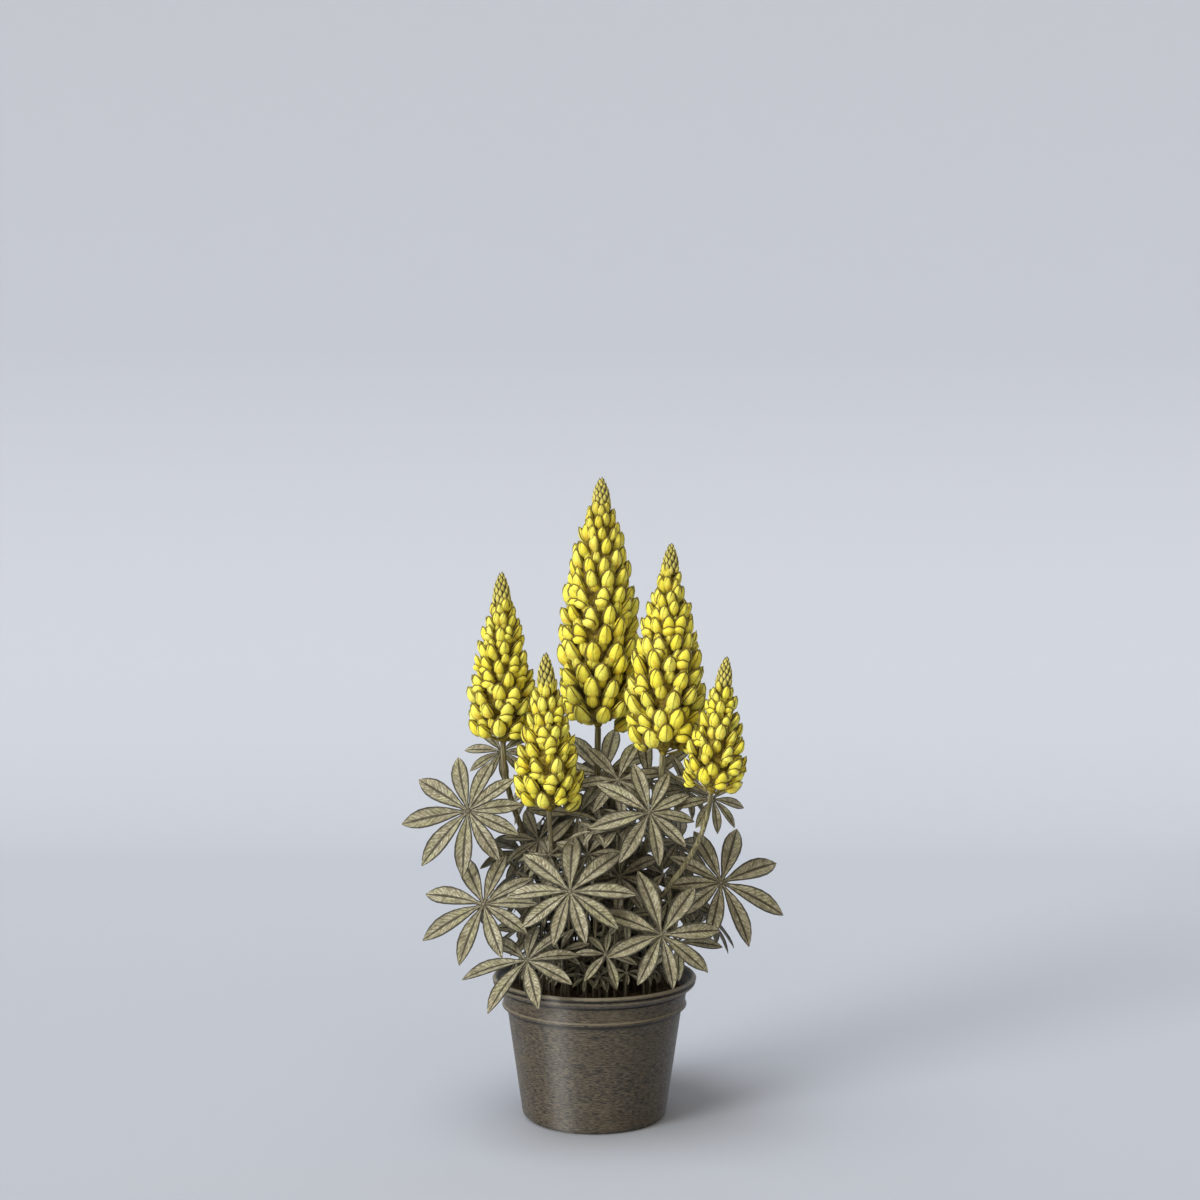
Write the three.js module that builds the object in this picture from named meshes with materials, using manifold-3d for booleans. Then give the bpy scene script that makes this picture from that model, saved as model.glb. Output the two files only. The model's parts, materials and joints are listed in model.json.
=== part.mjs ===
// Yellow garden lupin in a round nursery pot.
// Millimetres, +Z up. The origin is the centre of the pot's underside, -Y is the front.
// Each flower spike is a leafy stem, a head of florets and a cone of tight buds at its tip.
// Each basal leaf is a petiole, standing in a hole in the soil, with one palmate blade.

import * as THREE from 'three';
import { mergeVertices } from 'three/addons/utils/BufferGeometryUtils.js';
import Module from 'manifold-3d';

const wasm = await Module();
wasm.setup();

// ---------------------------------------------------------------- driving dimensions

const CLEARANCE = 0.3;            // gap between pieces that rest against each other

const POT_HEIGHT = 136;
const LIP_RADIUS = 100;           // outside of the flared lip, the widest ring of the pot
const LIP_LOW = 123;              // height where the lip flares out of the collar
const COLLAR_RADIUS = 91.5;
const COLLAR_LOW = 106;
const SHELF_HEIGHT = 104;         // where the inside of the wall widens into the collar
const BODY_TOP_RADIUS = 85.5;
const BASE_RADIUS = 70.4;
const BASE_ROUNDING = 3;
const WALL = 2.2;
const FLOOR = 3;
const POT_SIDES = 32;
const DRAIN_COUNT = 8;
const DRAIN_RADIUS = 4.5;
const DRAIN_CIRCLE = 50;

const SOIL_EDGE = 121;            // height of the soil along the wall
const SOIL_CROWN = 127;           // and at the crown of the plant
const SOIL_RELIEF = 1.3;
const ROOT_DEPTH = 104;           // height of the bottom of the holes in the soil
const STRAIGHT_TOP = 133;         // stems and petioles rise straight up to here

const STEM_RADIUS = 3.4;
const STEM_SIDES = 7;
const STEM_STEPS = 8;
const STEM_BEND = 0.42;           // length of the bend's handles, as a share of its reach
const PETIOLE_RADIUS = 1.6;
const PETIOLE_SIDES = 4;
const PETIOLE_STEPS = 6;          // of a basal leaf
const SIDE_PETIOLE_STEPS = 3;     // of a leaf on a stem
const PETIOLE_BEND = 0.4;
const HOLE_SIDES = 6;

const HUB_RADIUS = 3.6;           // where the leaflets part
const HUB_HALF = 1.5;
const RIB_HALF = 0.9;             // half the thickness of a leaflet at its rib
const RIB_AT = 0.5;               // where its rib is thickest, as a share of its length
const LEAFLET_HALF_WIDTH = 0.135; // as a share of the leaflet's length
const LEAFLET_EDGE = [[0.34, 0.78], [0.66, 0.95]]; // shares of its length and of that width
const LEAFLET_FOLD = 0.22;        // rise of a leaflet's edge for its half width
const LEAFLET_RISE = 0.1;         // slope of a leaflet where it leaves the hub
const LEAFLET_DROOP = 0.26;       // and the share of its length that its tip has sunk from that
const SHORTENING = 0.14;          // of the leaflets on the short side, and lengthening opposite
const CROWDING = 8;               // degrees that the leaflets turn towards the short side

const FLORET_LENGTH = 0.63;       // lowest florets, as a share of the head's radius
const FLORET_ROW = 0.38;          // height of the lowest row of florets, as a share of the same
const FLORET_WIDTH = 1.36;        // as a share of the room between two columns of the net
const FLORET_TAPER = 0.66;        // shortening from the foot of a head to its tip
const FLORET_TILT = [46, 12];     // degrees off the axis at the foot and at the tip of a head
const FLORET_MIDDLE = 0.56;       // where a floret is widest, back from its tip
const FLORET_RIDGE = 0.75;        // height of its ridge, as a share of its half width
const FLORETS_FROM = 0.035;       // share of the head's height where the lowest row starts
const FOOT_FULLNESS = 0.85;       // outline at the foot of a head, as a share of its widest
const BUD_COLUMNS = 10;
const BUD_ROWS = 7;

const radians = THREE.MathUtils.degToRad;

// Five flower spikes: root on the soil, foot and tip of the head, the head's widest radius, the
// share of its height where that is, the power by which it narrows from there to the tip, the
// share where the cone of tight buds begins and its radius there, the number of florets around
// the head and the seed of its small irregularities. A leaf on a stem springs from the stem at
// the height `from`.
const SPIKES = [
  {
    name: 'centre',
    root: [2, 8],
    foot: [3.5, 20, 375],
    tip: [7, 20, 623],
    radius: 40.5,
    widest: 0.3,
    power: 1.85,
    budsFrom: 0.88,
    budRadius: 11.2,
    around: 8,
    seed: 11,
    leaves: [
      { from: 292, hub: [9, 50, 324], face: 4, lift: 38, length: 56, count: 9, turn: 12 },
      { from: 222, hub: [10, 42, 258], face: 160, lift: 36, length: 42, count: 8, turn: 10 },
    ],
  },
  {
    name: 'right',
    root: [25, 4],
    foot: [66, -30, 353],
    tip: [74, -30, 556],
    radius: 38.5,
    widest: 0.3,
    power: 1.25,
    budsFrom: 0.85,
    budRadius: 10.2,
    around: 7,
    seed: 23,
    leaves: [
      { from: 282, hub: [88, -16, 318], face: 42, lift: 34, length: 36, count: 8, turn: 8 },
    ],
  },
  {
    name: 'left',
    root: [-26, 10],
    foot: [-90.5, 15, 361],
    tip: [-92, 15, 529],
    radius: 34,
    widest: 0.22,
    power: 1.35,
    budsFrom: 0.8,
    budRadius: 11.2,
    around: 7,
    seed: 37,
    leaves: [
      { from: 318, hub: [-93, 36, 350], face: -10, lift: 36, length: 40, count: 9, turn: 4 },
    ],
  },
  {
    name: 'front_left',
    root: [-20, -14],
    foot: [-43, -40, 300],
    tip: [-46.5, -40, 451],
    radius: 33,
    widest: 0.25,
    power: 1.1,
    budsFrom: 0.77,
    budRadius: 10.8,
    around: 6,
    seed: 53,
    leaves: [
      { from: 236, hub: [-54, -14, 268], face: -20, lift: 38, length: 40, count: 8, turn: 14 },
      { from: 186, hub: [-52, -32, 218], face: -14, lift: 36, length: 36, count: 7, turn: 8 },
    ],
  },
  {
    name: 'front_right',
    root: [38, -16],
    foot: [109.5, -72, 321],
    tip: [124, -72, 448.5],
    radius: 30,
    widest: 0.25,
    power: 1.0,
    budsFrom: 0.78,
    budRadius: 9.2,
    around: 6,
    seed: 71,
    leaves: [
      { from: 284, hub: [113, -42, 312], face: 28, lift: 32, length: 39, count: 8, turn: 5 },
      { from: 182, hub: [70, -42, 214], face: 16, lift: 34, length: 34, count: 7, turn: 16 },
    ],
  },
];

// Basal leaves: root on the soil, hub of the blade, compass of its upper face (0 is the front,
// positive to the right), lift of that face above level, mean leaflet length, leaflet count,
// turn of the first leaflet, and the side of the blade that the shorter leaflets are on.
const BASAL_LEAVES = [
  ['left_high', [-38, 0], [-121, -31, 299], -11, 24, 61, 10, 8, 80],
  ['left_mid', [-40, -14], [-104, -61, 215], -14, 39, 59, 9, 41, 90],
  ['front', [-9, -38], [-22, -95, 233], -6, 40, 60, 9, -3, 180],
  ['right_low', [20, -40], [62, -97, 194], 12, 28, 57, 8, 35, 180],
  ['right_high', [14, -24], [52, -66, 302], 8, 28, 51, 9, 20, 90],
  ['right_mid', [46, -2], [122, -29, 230], 17, 33, 62, 9, 34, -90],
  ['rim_left', [-28, -36], [-62, -88, 168], -24, 54, 56, 8, 22, 60],
  ['rim_front', [0, -52], [11, -88, 174], 6, 40, 29, 7, 12, 0],
  ['inner_front', [4, -22], [24, -52, 240], 10, 36, 44, 8, 10, 180],
  ['inner_right', [36, 10], [82, 14, 262], 50, 36, 46, 8, 8, -90],
  ['inner_mid', [-12, -26], [-6, -60, 262], -10, 34, 34, 8, 30, 180],
  ['inner_low', [11, -44], [30, -60, 205], 4, 32, 30, 7, 24, 180],
  ['back_left', [-24, 32], [-74, 80, 243], -145, 36, 54, 9, 14, 180],
  ['back', [0, 42], [14, 108, 222], 178, 40, 55, 9, 20, 180],
  ['back_right', [24, 30], [76, 92, 244], 138, 36, 57, 9, 5, 180],
  ['far_left', [-46, 14], [-106, 34, 198], -100, 36, 54, 8, 12, 180],
  ['far_right', [50, 14], [110, 42, 186], 108, 40, 54, 8, 12, 180],
  ['back_high', [-8, 26], [-30, 98, 304], -168, 32, 48, 8, 15, 180],
  ['rim_back_right', [14, 48], [48, 100, 170], 155, 56, 50, 8, 8, 0],
  ['rim_back_left', [-20, 46], [-42, 102, 174], -158, 54, 50, 8, 18, 0],
  ['heart', [-6, -4], [-16, -13, 293], 5, 27, 47, 7, 30, 180],
  ['low_right', [32, -24], [80, -40, 175], 7, 48, 45, 7, 32, 180],
  ['upper_left', [-24, 20], [-59, 37, 313], -54, 28, 49, 7, 2, 180],
  ['upper_right', [18, 7], [55, 11, 323], -20, 27, 48, 7, 36, 180],
  ['heart_high', [10, -8], [23, -31, 329], -4, 37, 45, 7, 16, 180],
  ['heart_right', [35, -8], [80, -13, 217], -3, 48, 46, 7, 9, 180],
  ['low_left', [-34, 15], [-60, 36, 172], 17, 27, 40, 7, 28, 180],
].map(([name, root, hub, face, lift, length, count, turn, short]) => (
  { name, root, hub, face, lift, length, count, turn, short }));
const SHORT_SIDE = 180;           // of the leaves on the stems

const PLASTIC = new THREE.MeshStandardMaterial({ color: 0x4d463f, roughness: 0.55, metalness: 0 });
const EARTH = new THREE.MeshStandardMaterial({ color: 0x2c241d, roughness: 1, metalness: 0 });
const LEAF = new THREE.MeshStandardMaterial({ color: 0x8a8662, roughness: 0.75, metalness: 0 });
const STALK = new THREE.MeshStandardMaterial({ color: 0x6f6a4c, roughness: 0.7, metalness: 0 });
const PETAL = new THREE.MeshStandardMaterial({ color: 0xe8d42c, roughness: 0.6, metalness: 0 });
const BUD = new THREE.MeshStandardMaterial({ color: 0xa39a4a, roughness: 0.7, metalness: 0 });

// ---------------------------------------------------------------- solids and numbers

// Repeatable draws between 0 and 1.
function seededDraws(seed) {
  let state = seed;
  return () => {
    state = (state * 16807) % 2147483647;
    return state / 2147483647;
  };
}

// A closed three.js geometry as a solid, whichever way its faces were wound.
function toSolid(geometry) {
  const bare = geometry.index ? geometry.toNonIndexed() : geometry.clone();
  bare.deleteAttribute('normal');
  bare.deleteAttribute('uv');
  const merged = mergeVertices(bare, 1e-4);
  const points = merged.attributes.position.array;
  const corners = merged.index.array;
  const kept = [];
  let volume = 0;
  for (let i = 0; i < corners.length; i += 3) {
    const [a, b, c] = [corners[i], corners[i + 1], corners[i + 2]];
    if (a === b || b === c || c === a) continue;
    kept.push(a, b, c);
    const [p, q, r] = [a, b, c].map((n) => new THREE.Vector3().fromArray(points, 3 * n));
    volume += p.dot(q.cross(r));
  }
  if (volume < 0) kept.reverse();
  return new wasm.Manifold(new wasm.Mesh({
    numProp: 3,
    vertProperties: Float32Array.from(points),
    triVerts: Uint32Array.from(kept),
  }));
}

function toGeometry(solid) {
  const mesh = solid.getMesh();
  const geometry = new THREE.BufferGeometry();
  geometry.setAttribute('position', new THREE.BufferAttribute(mesh.vertProperties, 3));
  geometry.setIndex(new THREE.BufferAttribute(mesh.triVerts, 1));
  geometry.computeVertexNormals();
  return geometry;
}

// Joins solids and keeps the one main body, with no scraps and no sealed voids.
function fuse(solids) {
  let joined = solids[0];
  for (const solid of solids.slice(1)) joined = joined.add(solid);
  return mainBody(joined);
}

function mainBody(solid) {
  const bodies = solid.decompose();
  return bodies.reduce((best, body) => (body.volume() > best.volume() ? body : best));
}

// A round of profile points [radius, height] turned about the Z axis.
function turned(profile, sides) {
  const points = profile.map(([radius, height]) => new THREE.Vector2(radius, height));
  return new THREE.LatheGeometry(points, sides).rotateX(Math.PI / 2);
}

// A tube of `sides` sides along a curve.
function tube(curve, radius, sides, steps) {
  const corners = [];
  for (let i = 0; i < sides; i += 1) {
    const angle = (2 * Math.PI * i) / sides;
    corners.push(new THREE.Vector2(radius * Math.cos(angle), radius * Math.sin(angle)));
  }
  const settings = { steps, extrudePath: curve, bevelEnabled: false };
  return new THREE.ExtrudeGeometry(new THREE.Shape(corners), settings);
}

// The way that a stem or petiole takes: straight up out of the soil, then bent over to its end.
function risingCurve(root, end, heading, bend) {
  const foot = new THREE.Vector3(root[0], root[1], ROOT_DEPTH + CLEARANCE);
  const shoulder = new THREE.Vector3(root[0], root[1], STRAIGHT_TOP);
  const reach = shoulder.distanceTo(end);
  const curve = new THREE.CurvePath();
  curve.add(new THREE.LineCurve3(foot, shoulder));
  curve.add(new THREE.CubicBezierCurve3(
    shoulder,
    shoulder.clone().add(new THREE.Vector3(0, 0, bend * reach)),
    end.clone().addScaledVector(heading, -bend * reach),
    end,
  ));
  return curve;
}

// ---------------------------------------------------------------- pot and soil

function potSolid() {
  const inner = (radius) => radius - WALL;
  const outside = [
    [0, 0],
    [BASE_RADIUS - BASE_ROUNDING, 0],
    [BASE_RADIUS, BASE_ROUNDING],
    [BODY_TOP_RADIUS, COLLAR_LOW],
    [COLLAR_RADIUS - 2, COLLAR_LOW],
    [COLLAR_RADIUS, LIP_LOW],
    [LIP_RADIUS - 3.5, LIP_LOW + 1.5],
    [LIP_RADIUS, LIP_LOW + 6],
    [LIP_RADIUS, POT_HEIGHT - 2],
    [LIP_RADIUS - 1.5, POT_HEIGHT],
  ];
  const inside = [
    [LIP_RADIUS - 3.5, POT_HEIGHT],
    [COLLAR_RADIUS - 3, LIP_LOW + 3],
    [inner(BODY_TOP_RADIUS), SHELF_HEIGHT],
    [inner(BASE_RADIUS), FLOOR],
    [0, FLOOR],
  ];
  let pot = toSolid(turned([...outside, ...inside], POT_SIDES));
  for (let i = 0; i < DRAIN_COUNT; i += 1) {
    const angle = (2 * Math.PI * (i + 0.5)) / DRAIN_COUNT;
    const drain = new THREE.CylinderGeometry(DRAIN_RADIUS, DRAIN_RADIUS, 4 * FLOOR, HOLE_SIDES)
      .rotateX(Math.PI / 2)
      .translate(DRAIN_CIRCLE * Math.cos(angle), DRAIN_CIRCLE * Math.sin(angle), 0);
    pot = pot.subtract(toSolid(drain));
  }
  return pot;
}

// Height of the soil's surface over a point, low along the wall and lumpy towards the crown.
function soilHeight(x, y, edgeRadius) {
  const inward = 1 - Math.hypot(x, y) / edgeRadius;
  const lumps = Math.sin(x / 7 + 1) * Math.cos(y / 6 - 0.5) + 0.6 * Math.sin((x + y) / 4);
  return SOIL_EDGE + (SOIL_CROWN - SOIL_EDGE) * inward + SOIL_RELIEF * lumps * Math.min(1, 3 * inward);
}

function soilSolid() {
  const wallRadius = (height) => BASE_RADIUS - WALL - CLEARANCE
    + ((BODY_TOP_RADIUS - BASE_RADIUS) * (height - FLOOR)) / (SHELF_HEIGHT - FLOOR);
  const low = FLOOR + CLEARANCE;
  const shelfRadius = wallRadius(SHELF_HEIGHT);
  const edgeRadius = shelfRadius + 2.5;
  const rings = [0.8, 0.52, 0.26, 0];
  const profile = [
    [0, low],
    [wallRadius(low), low],
    [shelfRadius, SHELF_HEIGHT],
    [edgeRadius, SOIL_EDGE],
  ];
  for (const ring of rings) profile.push([edgeRadius * ring, SOIL_CROWN]);
  const geometry = turned(profile, POT_SIDES);
  const place = geometry.attributes.position;
  for (let i = 0; i < place.count; i += 1) {
    if (place.getZ(i) < SOIL_CROWN - 0.01) continue;
    place.setZ(i, soilHeight(place.getX(i), place.getY(i), edgeRadius));
  }
  let soil = toSolid(geometry);
  const holes = [
    ...SPIKES.map((spike) => [spike.root, STEM_RADIUS, HOLE_SIDES]),
    ...BASAL_LEAVES.map((leaf) => [leaf.root, PETIOLE_RADIUS, PETIOLE_SIDES]),
  ];
  for (const [root, radius, sides] of holes) {
    const wide = (radius + CLEARANCE) / Math.cos(Math.PI / sides) + 0.1;
    const depth = 2 * (SOIL_CROWN + 6 - ROOT_DEPTH);
    const hole = new THREE.CylinderGeometry(wide, wide, depth, sides)
      .rotateX(Math.PI / 2)
      .translate(root[0], root[1], ROOT_DEPTH + depth / 2);
    soil = soil.subtract(toSolid(hole));
  }
  return soil;
}

// ---------------------------------------------------------------- leaves

// The directions of a blade: right and up in its plane, and out of its upper face.
function bladeFrame(face, lift) {
  const [a, e] = [radians(face), radians(lift)];
  return {
    right: new THREE.Vector3(Math.cos(a), Math.sin(a), 0),
    up: new THREE.Vector3(-Math.sin(a) * Math.sin(e), Math.cos(a) * Math.sin(e), Math.cos(e)),
    out: new THREE.Vector3(Math.sin(a) * Math.cos(e), -Math.cos(a) * Math.cos(e), Math.sin(e)),
  };
}

// Leaflets are shorter and closer together on the side that the petiole comes from.
function leafletDirection(leaf, i) {
  const short = radians(leaf.short ?? SHORT_SIDE);
  const even = radians(leaf.turn) + (2 * Math.PI * i) / leaf.count;
  return even - radians(CROWDING) * Math.sin(even - short);
}

function leafletLength(leaf, direction) {
  return leaf.length * (1 - SHORTENING * Math.cos(direction - radians(leaf.short ?? SHORT_SIDE)));
}

// One palmate blade as a closed thin body: every leaflet is folded along a rib that is thicker
// than its edges, its edges are shared by the upper and the lower face.
function bladeGeometry(leaf) {
  const { right, up, out } = bladeFrame(leaf.face, leaf.lift);
  const hub = new THREE.Vector3(...leaf.hub);
  const points = [];
  const faces = [];
  const add = (direction, along, across, rise) => {
    const place = hub.clone()
      .addScaledVector(right, along * Math.sin(direction) + across * Math.cos(direction))
      .addScaledVector(up, along * Math.cos(direction) - across * Math.sin(direction))
      .addScaledVector(out, rise);
    points.push(place.x, place.y, place.z);
    return points.length / 3 - 1;
  };
  const arch = (along, length) => LEAFLET_RISE * along - (LEAFLET_DROOP * along * along) / length;
  const directions = [];
  for (let i = 0; i < leaf.count; i += 1) directions.push(leafletDirection(leaf, i));
  const half = (i) => {
    const next = i + 1 < leaf.count ? directions[i + 1] : directions[0] + 2 * Math.PI;
    return (next - directions[i]) / 2;
  };
  const hubTop = add(0, 0, 0, HUB_HALF);
  const hubLow = add(0, 0, 0, -HUB_HALF);
  const notches = directions.map((direction, i) => add(direction + half(i), HUB_RADIUS, 0, 0));
  directions.forEach((direction, i) => {
    const before = notches[(i + leaf.count - 1) % leaf.count];
    const after = notches[i];
    const length = leafletLength(leaf, direction);
    const room = Math.tan(Math.min(half(i), half((i + leaf.count - 1) % leaf.count)));
    const edge = ([share, width]) => {
      const along = share * length;
      const across = Math.min(width * LEAFLET_HALF_WIDTH * length, 0.9 * along * room);
      const rise = arch(along, length) + LEAFLET_FOLD * across;
      return [add(direction, along, -across, rise), add(direction, along, across, rise)];
    };
    const [[lowLeft, lowRight], [highLeft, highRight]] = LEAFLET_EDGE.map(edge);
    const tip = add(direction, length, 0, arch(length, length));
    const ribRise = arch(RIB_AT * length, length);
    const upper = add(direction, RIB_AT * length, 0, ribRise + RIB_HALF);
    const lower = add(direction, RIB_AT * length, 0, ribRise - RIB_HALF);
    const outline = [before, lowLeft, highLeft, tip, highRight, lowRight, after];
    for (let k = 0; k + 1 < outline.length; k += 1) {
      faces.push(upper, outline[k + 1], outline[k], lower, outline[k], outline[k + 1]);
    }
    faces.push(hubTop, upper, before, hubTop, after, upper);
    faces.push(hubLow, before, lower, hubLow, lower, after);
  });
  const geometry = new THREE.BufferGeometry();
  geometry.setAttribute('position', new THREE.Float32BufferAttribute(points, 3));
  geometry.setIndex(faces);
  return geometry;
}

// Where a petiole meets the back of its blade, and the way it heads there: outward, upward and
// partly along the blade's own axis.
function petioleEnd(leaf) {
  const { out } = bladeFrame(leaf.face, leaf.lift);
  const outward = new THREE.Vector3(out.x, out.y, 0).normalize();
  const heading = new THREE.Vector3(0, 0, 0.35)
    .addScaledVector(outward, 0.6)
    .addScaledVector(out, 0.55);
  return {
    end: new THREE.Vector3(...leaf.hub).addScaledVector(out, -0.2),
    heading: heading.normalize(),
  };
}

function basalLeafSolid(leaf) {
  const { end, heading } = petioleEnd(leaf);
  const way = risingCurve(leaf.root, end, heading, PETIOLE_BEND);
  const petiole = tube(way, PETIOLE_RADIUS, PETIOLE_SIDES, PETIOLE_STEPS);
  return fuse([toSolid(bladeGeometry(leaf)), toSolid(petiole)]);
}

// ---------------------------------------------------------------- flower spikes

function stemCurve(spike) {
  const foot = new THREE.Vector3(...spike.foot);
  const lean = new THREE.Vector3(...spike.tip).sub(foot).normalize();
  return risingCurve(spike.root, foot.clone().addScaledVector(lean, -CLEARANCE), lean, STEM_BEND);
}

// A stem with the leaves that grow on it.
function leafyStemSolid(spike) {
  const curve = stemCurve(spike);
  const solids = [toSolid(tube(curve, STEM_RADIUS, STEM_SIDES, STEM_STEPS))];
  for (const leaf of spike.leaves) {
    const spring = pointAtHeight(curve, leaf.from);
    const { end, heading } = petioleEnd(leaf);
    const reach = spring.distanceTo(end);
    const way = new THREE.CubicBezierCurve3(
      spring,
      spring.clone().add(new THREE.Vector3(0, 0, 0.3 * reach)),
      end.clone().addScaledVector(heading, -PETIOLE_BEND * reach),
      end,
    );
    const petiole = tube(way, PETIOLE_RADIUS, PETIOLE_SIDES, SIDE_PETIOLE_STEPS);
    solids.push(toSolid(bladeGeometry(leaf)), toSolid(petiole));
  }
  return fuse(solids);
}

function pointAtHeight(curve, height) {
  const away = (point) => Math.abs(point.z - height);
  return curve.getSpacedPoints(80).reduce((best, point) => (away(point) < away(best) ? point : best));
}

// Outline of a head and size and tilt of its florets, for a share t of its height.
function fullness(spike, t) {
  const upper = Math.min(1, Math.max(0, (t - spike.widest) / (1 - spike.widest)));
  const lower = Math.max(0, (spike.widest - t) / spike.widest);
  return 1 - upper ** spike.power - (1 - FOOT_FULLNESS) * lower ** 2;
}

function floretScale(t) {
  return 1 - FLORET_TAPER * t ** 1.5;
}

function floretTilt(t) {
  const [foot, tip] = FLORET_TILT;
  return radians(foot + (tip - foot) * t);
}

// The core is slim at the foot of a head and fills about half of it higher up.
function coreRadius(spike, t, height) {
  const length = FLORET_LENGTH * spike.radius * floretScale(t);
  const outline = fullness(spike, t + (0.55 * length * Math.cos(floretTilt(t))) / height);
  const full = spike.radius * outline - 0.95 * length * Math.sin(floretTilt(t));
  return Math.max(1.4, Math.min(full, STEM_RADIUS + 0.9 * t * height));
}

// Shares of the head's height where the rings of its net lie, closer together towards the tip.
function netRings(spike, height) {
  const rings = [0];
  let t = FLORETS_FROM;
  while (t < spike.budsFrom - 0.01) {
    rings.push(t);
    t += (FLORET_ROW * spike.radius * floretScale(t)) / height;
  }
  rings.push(spike.budsFrom);
  return rings;
}

// The florets and their core as one closed net: every second cell of its rings is drawn out, up
// and away from the axis, into a plump almond with a ridge along its outer face.
function headGeometry(spike, height) {
  const columns = 2 * spike.around;
  const draw = seededDraws(spike.seed);
  const rings = netRings(spike, height);
  const points = [];
  const faces = [];
  const add = (radius, turn, z) => {
    points.push(radius * Math.cos(turn), radius * Math.sin(turn), z);
    return points.length / 3 - 1;
  };
  const turnOf = (k) => (2 * Math.PI * k) / columns;
  const net = rings.map((t) => {
    const ring = [];
    const radius = coreRadius(spike, t, height);
    for (let k = 0; k < columns; k += 1) ring.push(add(radius, turnOf(k), t * height));
    return ring;
  });
  const foot = add(0, 0, 0);
  const top = add(0, 0, spike.budsFrom * height);
  for (let k = 0; k < columns; k += 1) {
    const next = (k + 1) % columns;
    faces.push(foot, net[0][next], net[0][k], top, net.at(-1)[k], net.at(-1)[next]);
    for (let row = 0; row + 1 < rings.length; row += 1) {
      const [a, b, c, d] = [net[row][k], net[row][next], net[row + 1][next], net[row + 1][k]];
      if (row === 0 || (row + k) % 2 === 0) {
        faces.push(a, b, c, a, c, d);
        continue;
      }
      const t = rings[row];
      const length = FLORET_LENGTH * spike.radius * floretScale(t) * (0.94 + 0.12 * draw());
      const tilt = floretTilt(t) + radians(6 * (draw() - 0.5));
      const turn = turnOf(k + 0.5 + 0.16 * (draw() - 0.5));
      const tipHeight = (0.7 * t + 0.3 * rings[row + 1]) * height + length * Math.cos(tilt);
      const tipRadius = spike.radius * fullness(spike, 0.45 * t + (0.55 * tipHeight) / height);
      const midRadius = tipRadius - FLORET_MIDDLE * length * Math.sin(tilt);
      const midHeight = tipHeight - FLORET_MIDDLE * length * Math.cos(tilt);
      const half = (FLORET_WIDTH * Math.PI * midRadius) / columns;
      const ridge = FLORET_RIDGE * half;
      const tip = add(tipRadius, turn, tipHeight);
      const left = add(midRadius, turn - half / midRadius, midHeight);
      const right = add(midRadius, turn + half / midRadius, midHeight);
      const front = add(midRadius + ridge * Math.cos(tilt), turn, midHeight - ridge * Math.sin(tilt));
      faces.push(a, b, front, a, front, left, b, right, front, left, front, tip, front, right, tip);
      faces.push(a, left, d, d, left, tip, b, c, right, c, tip, right, c, d, tip);
    }
  }
  const geometry = new THREE.BufferGeometry();
  geometry.setAttribute('position', new THREE.Float32BufferAttribute(points, 3));
  geometry.setIndex(faces);
  return geometry;
}

// Outline of the cone of tight buds, at a share of its own height.
function budConeRadius(spike, share) {
  return spike.budRadius * (1 - 0.8 * share ** 1.6);
}

// The space that the bud cone keeps to itself, with the clearance all round.
function budEnvelope(spike, height) {
  const low = spike.budsFrom * height;
  const profile = [[0, low - CLEARANCE]];
  for (const share of [0, 0.3, 0.6, 1]) {
    const radius = (budConeRadius(spike, share) + CLEARANCE) / Math.cos(Math.PI / BUD_COLUMNS);
    profile.push([radius, low + share * (height - low) - (share === 0 ? CLEARANCE : 0)]);
  }
  profile.push([0, 1.02 * height]);
  return turned(profile, BUD_COLUMNS);
}

// The cone of tight buds: every second point of a round net is raised and drawn upwards, so
// that each raised point with its four neighbours reads as one bud.
function budConeGeometry(spike, height) {
  const low = spike.budsFrom * height;
  const points = [0, 0, low];
  const faces = [];
  const column = (k) => k % BUD_COLUMNS;
  for (let row = 0; row < BUD_ROWS; row += 1) {
    for (let k = 0; k < BUD_COLUMNS; k += 1) {
      const raised = (row + k) % 2 === 0 && row > 0;
      const share = (row + (raised ? 0.45 : 0)) / BUD_ROWS;
      const radius = budConeRadius(spike, share) * (raised ? 1 : 0.74);
      const angle = (2 * Math.PI * k) / BUD_COLUMNS;
      points.push(radius * Math.cos(angle), radius * Math.sin(angle), low + share * (height - low));
    }
  }
  const at = (row, k) => 1 + row * BUD_COLUMNS + column(k);
  const top = points.length / 3;
  points.push(0, 0, height);
  for (let k = 0; k < BUD_COLUMNS; k += 1) {
    faces.push(0, at(0, k + 1), at(0, k), top, at(BUD_ROWS - 1, k), at(BUD_ROWS - 1, k + 1));
    for (let row = 0; row + 1 < BUD_ROWS; row += 1) {
      const [a, b, c, d] = [at(row, k), at(row, k + 1), at(row + 1, k + 1), at(row + 1, k)];
      if ((row + k) % 2 === 0) faces.push(a, b, d, b, c, d);
      else faces.push(a, b, c, a, c, d);
    }
  }
  const geometry = new THREE.BufferGeometry();
  geometry.setAttribute('position', new THREE.Float32BufferAttribute(points, 3));
  geometry.setIndex(faces);
  return geometry;
}

function floretsSolid(spike, height) {
  return mainBody(toSolid(headGeometry(spike, height)).subtract(toSolid(budEnvelope(spike, height))));
}

// ---------------------------------------------------------------- assembly

const plant = new THREE.Group();

function piece(name, solid, material, parent = plant) {
  const mesh = new THREE.Mesh(toGeometry(solid), material);
  mesh.name = name;
  parent.add(mesh);
}

piece('pot', potSolid(), PLASTIC);
piece('soil', soilSolid(), EARTH);

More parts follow.
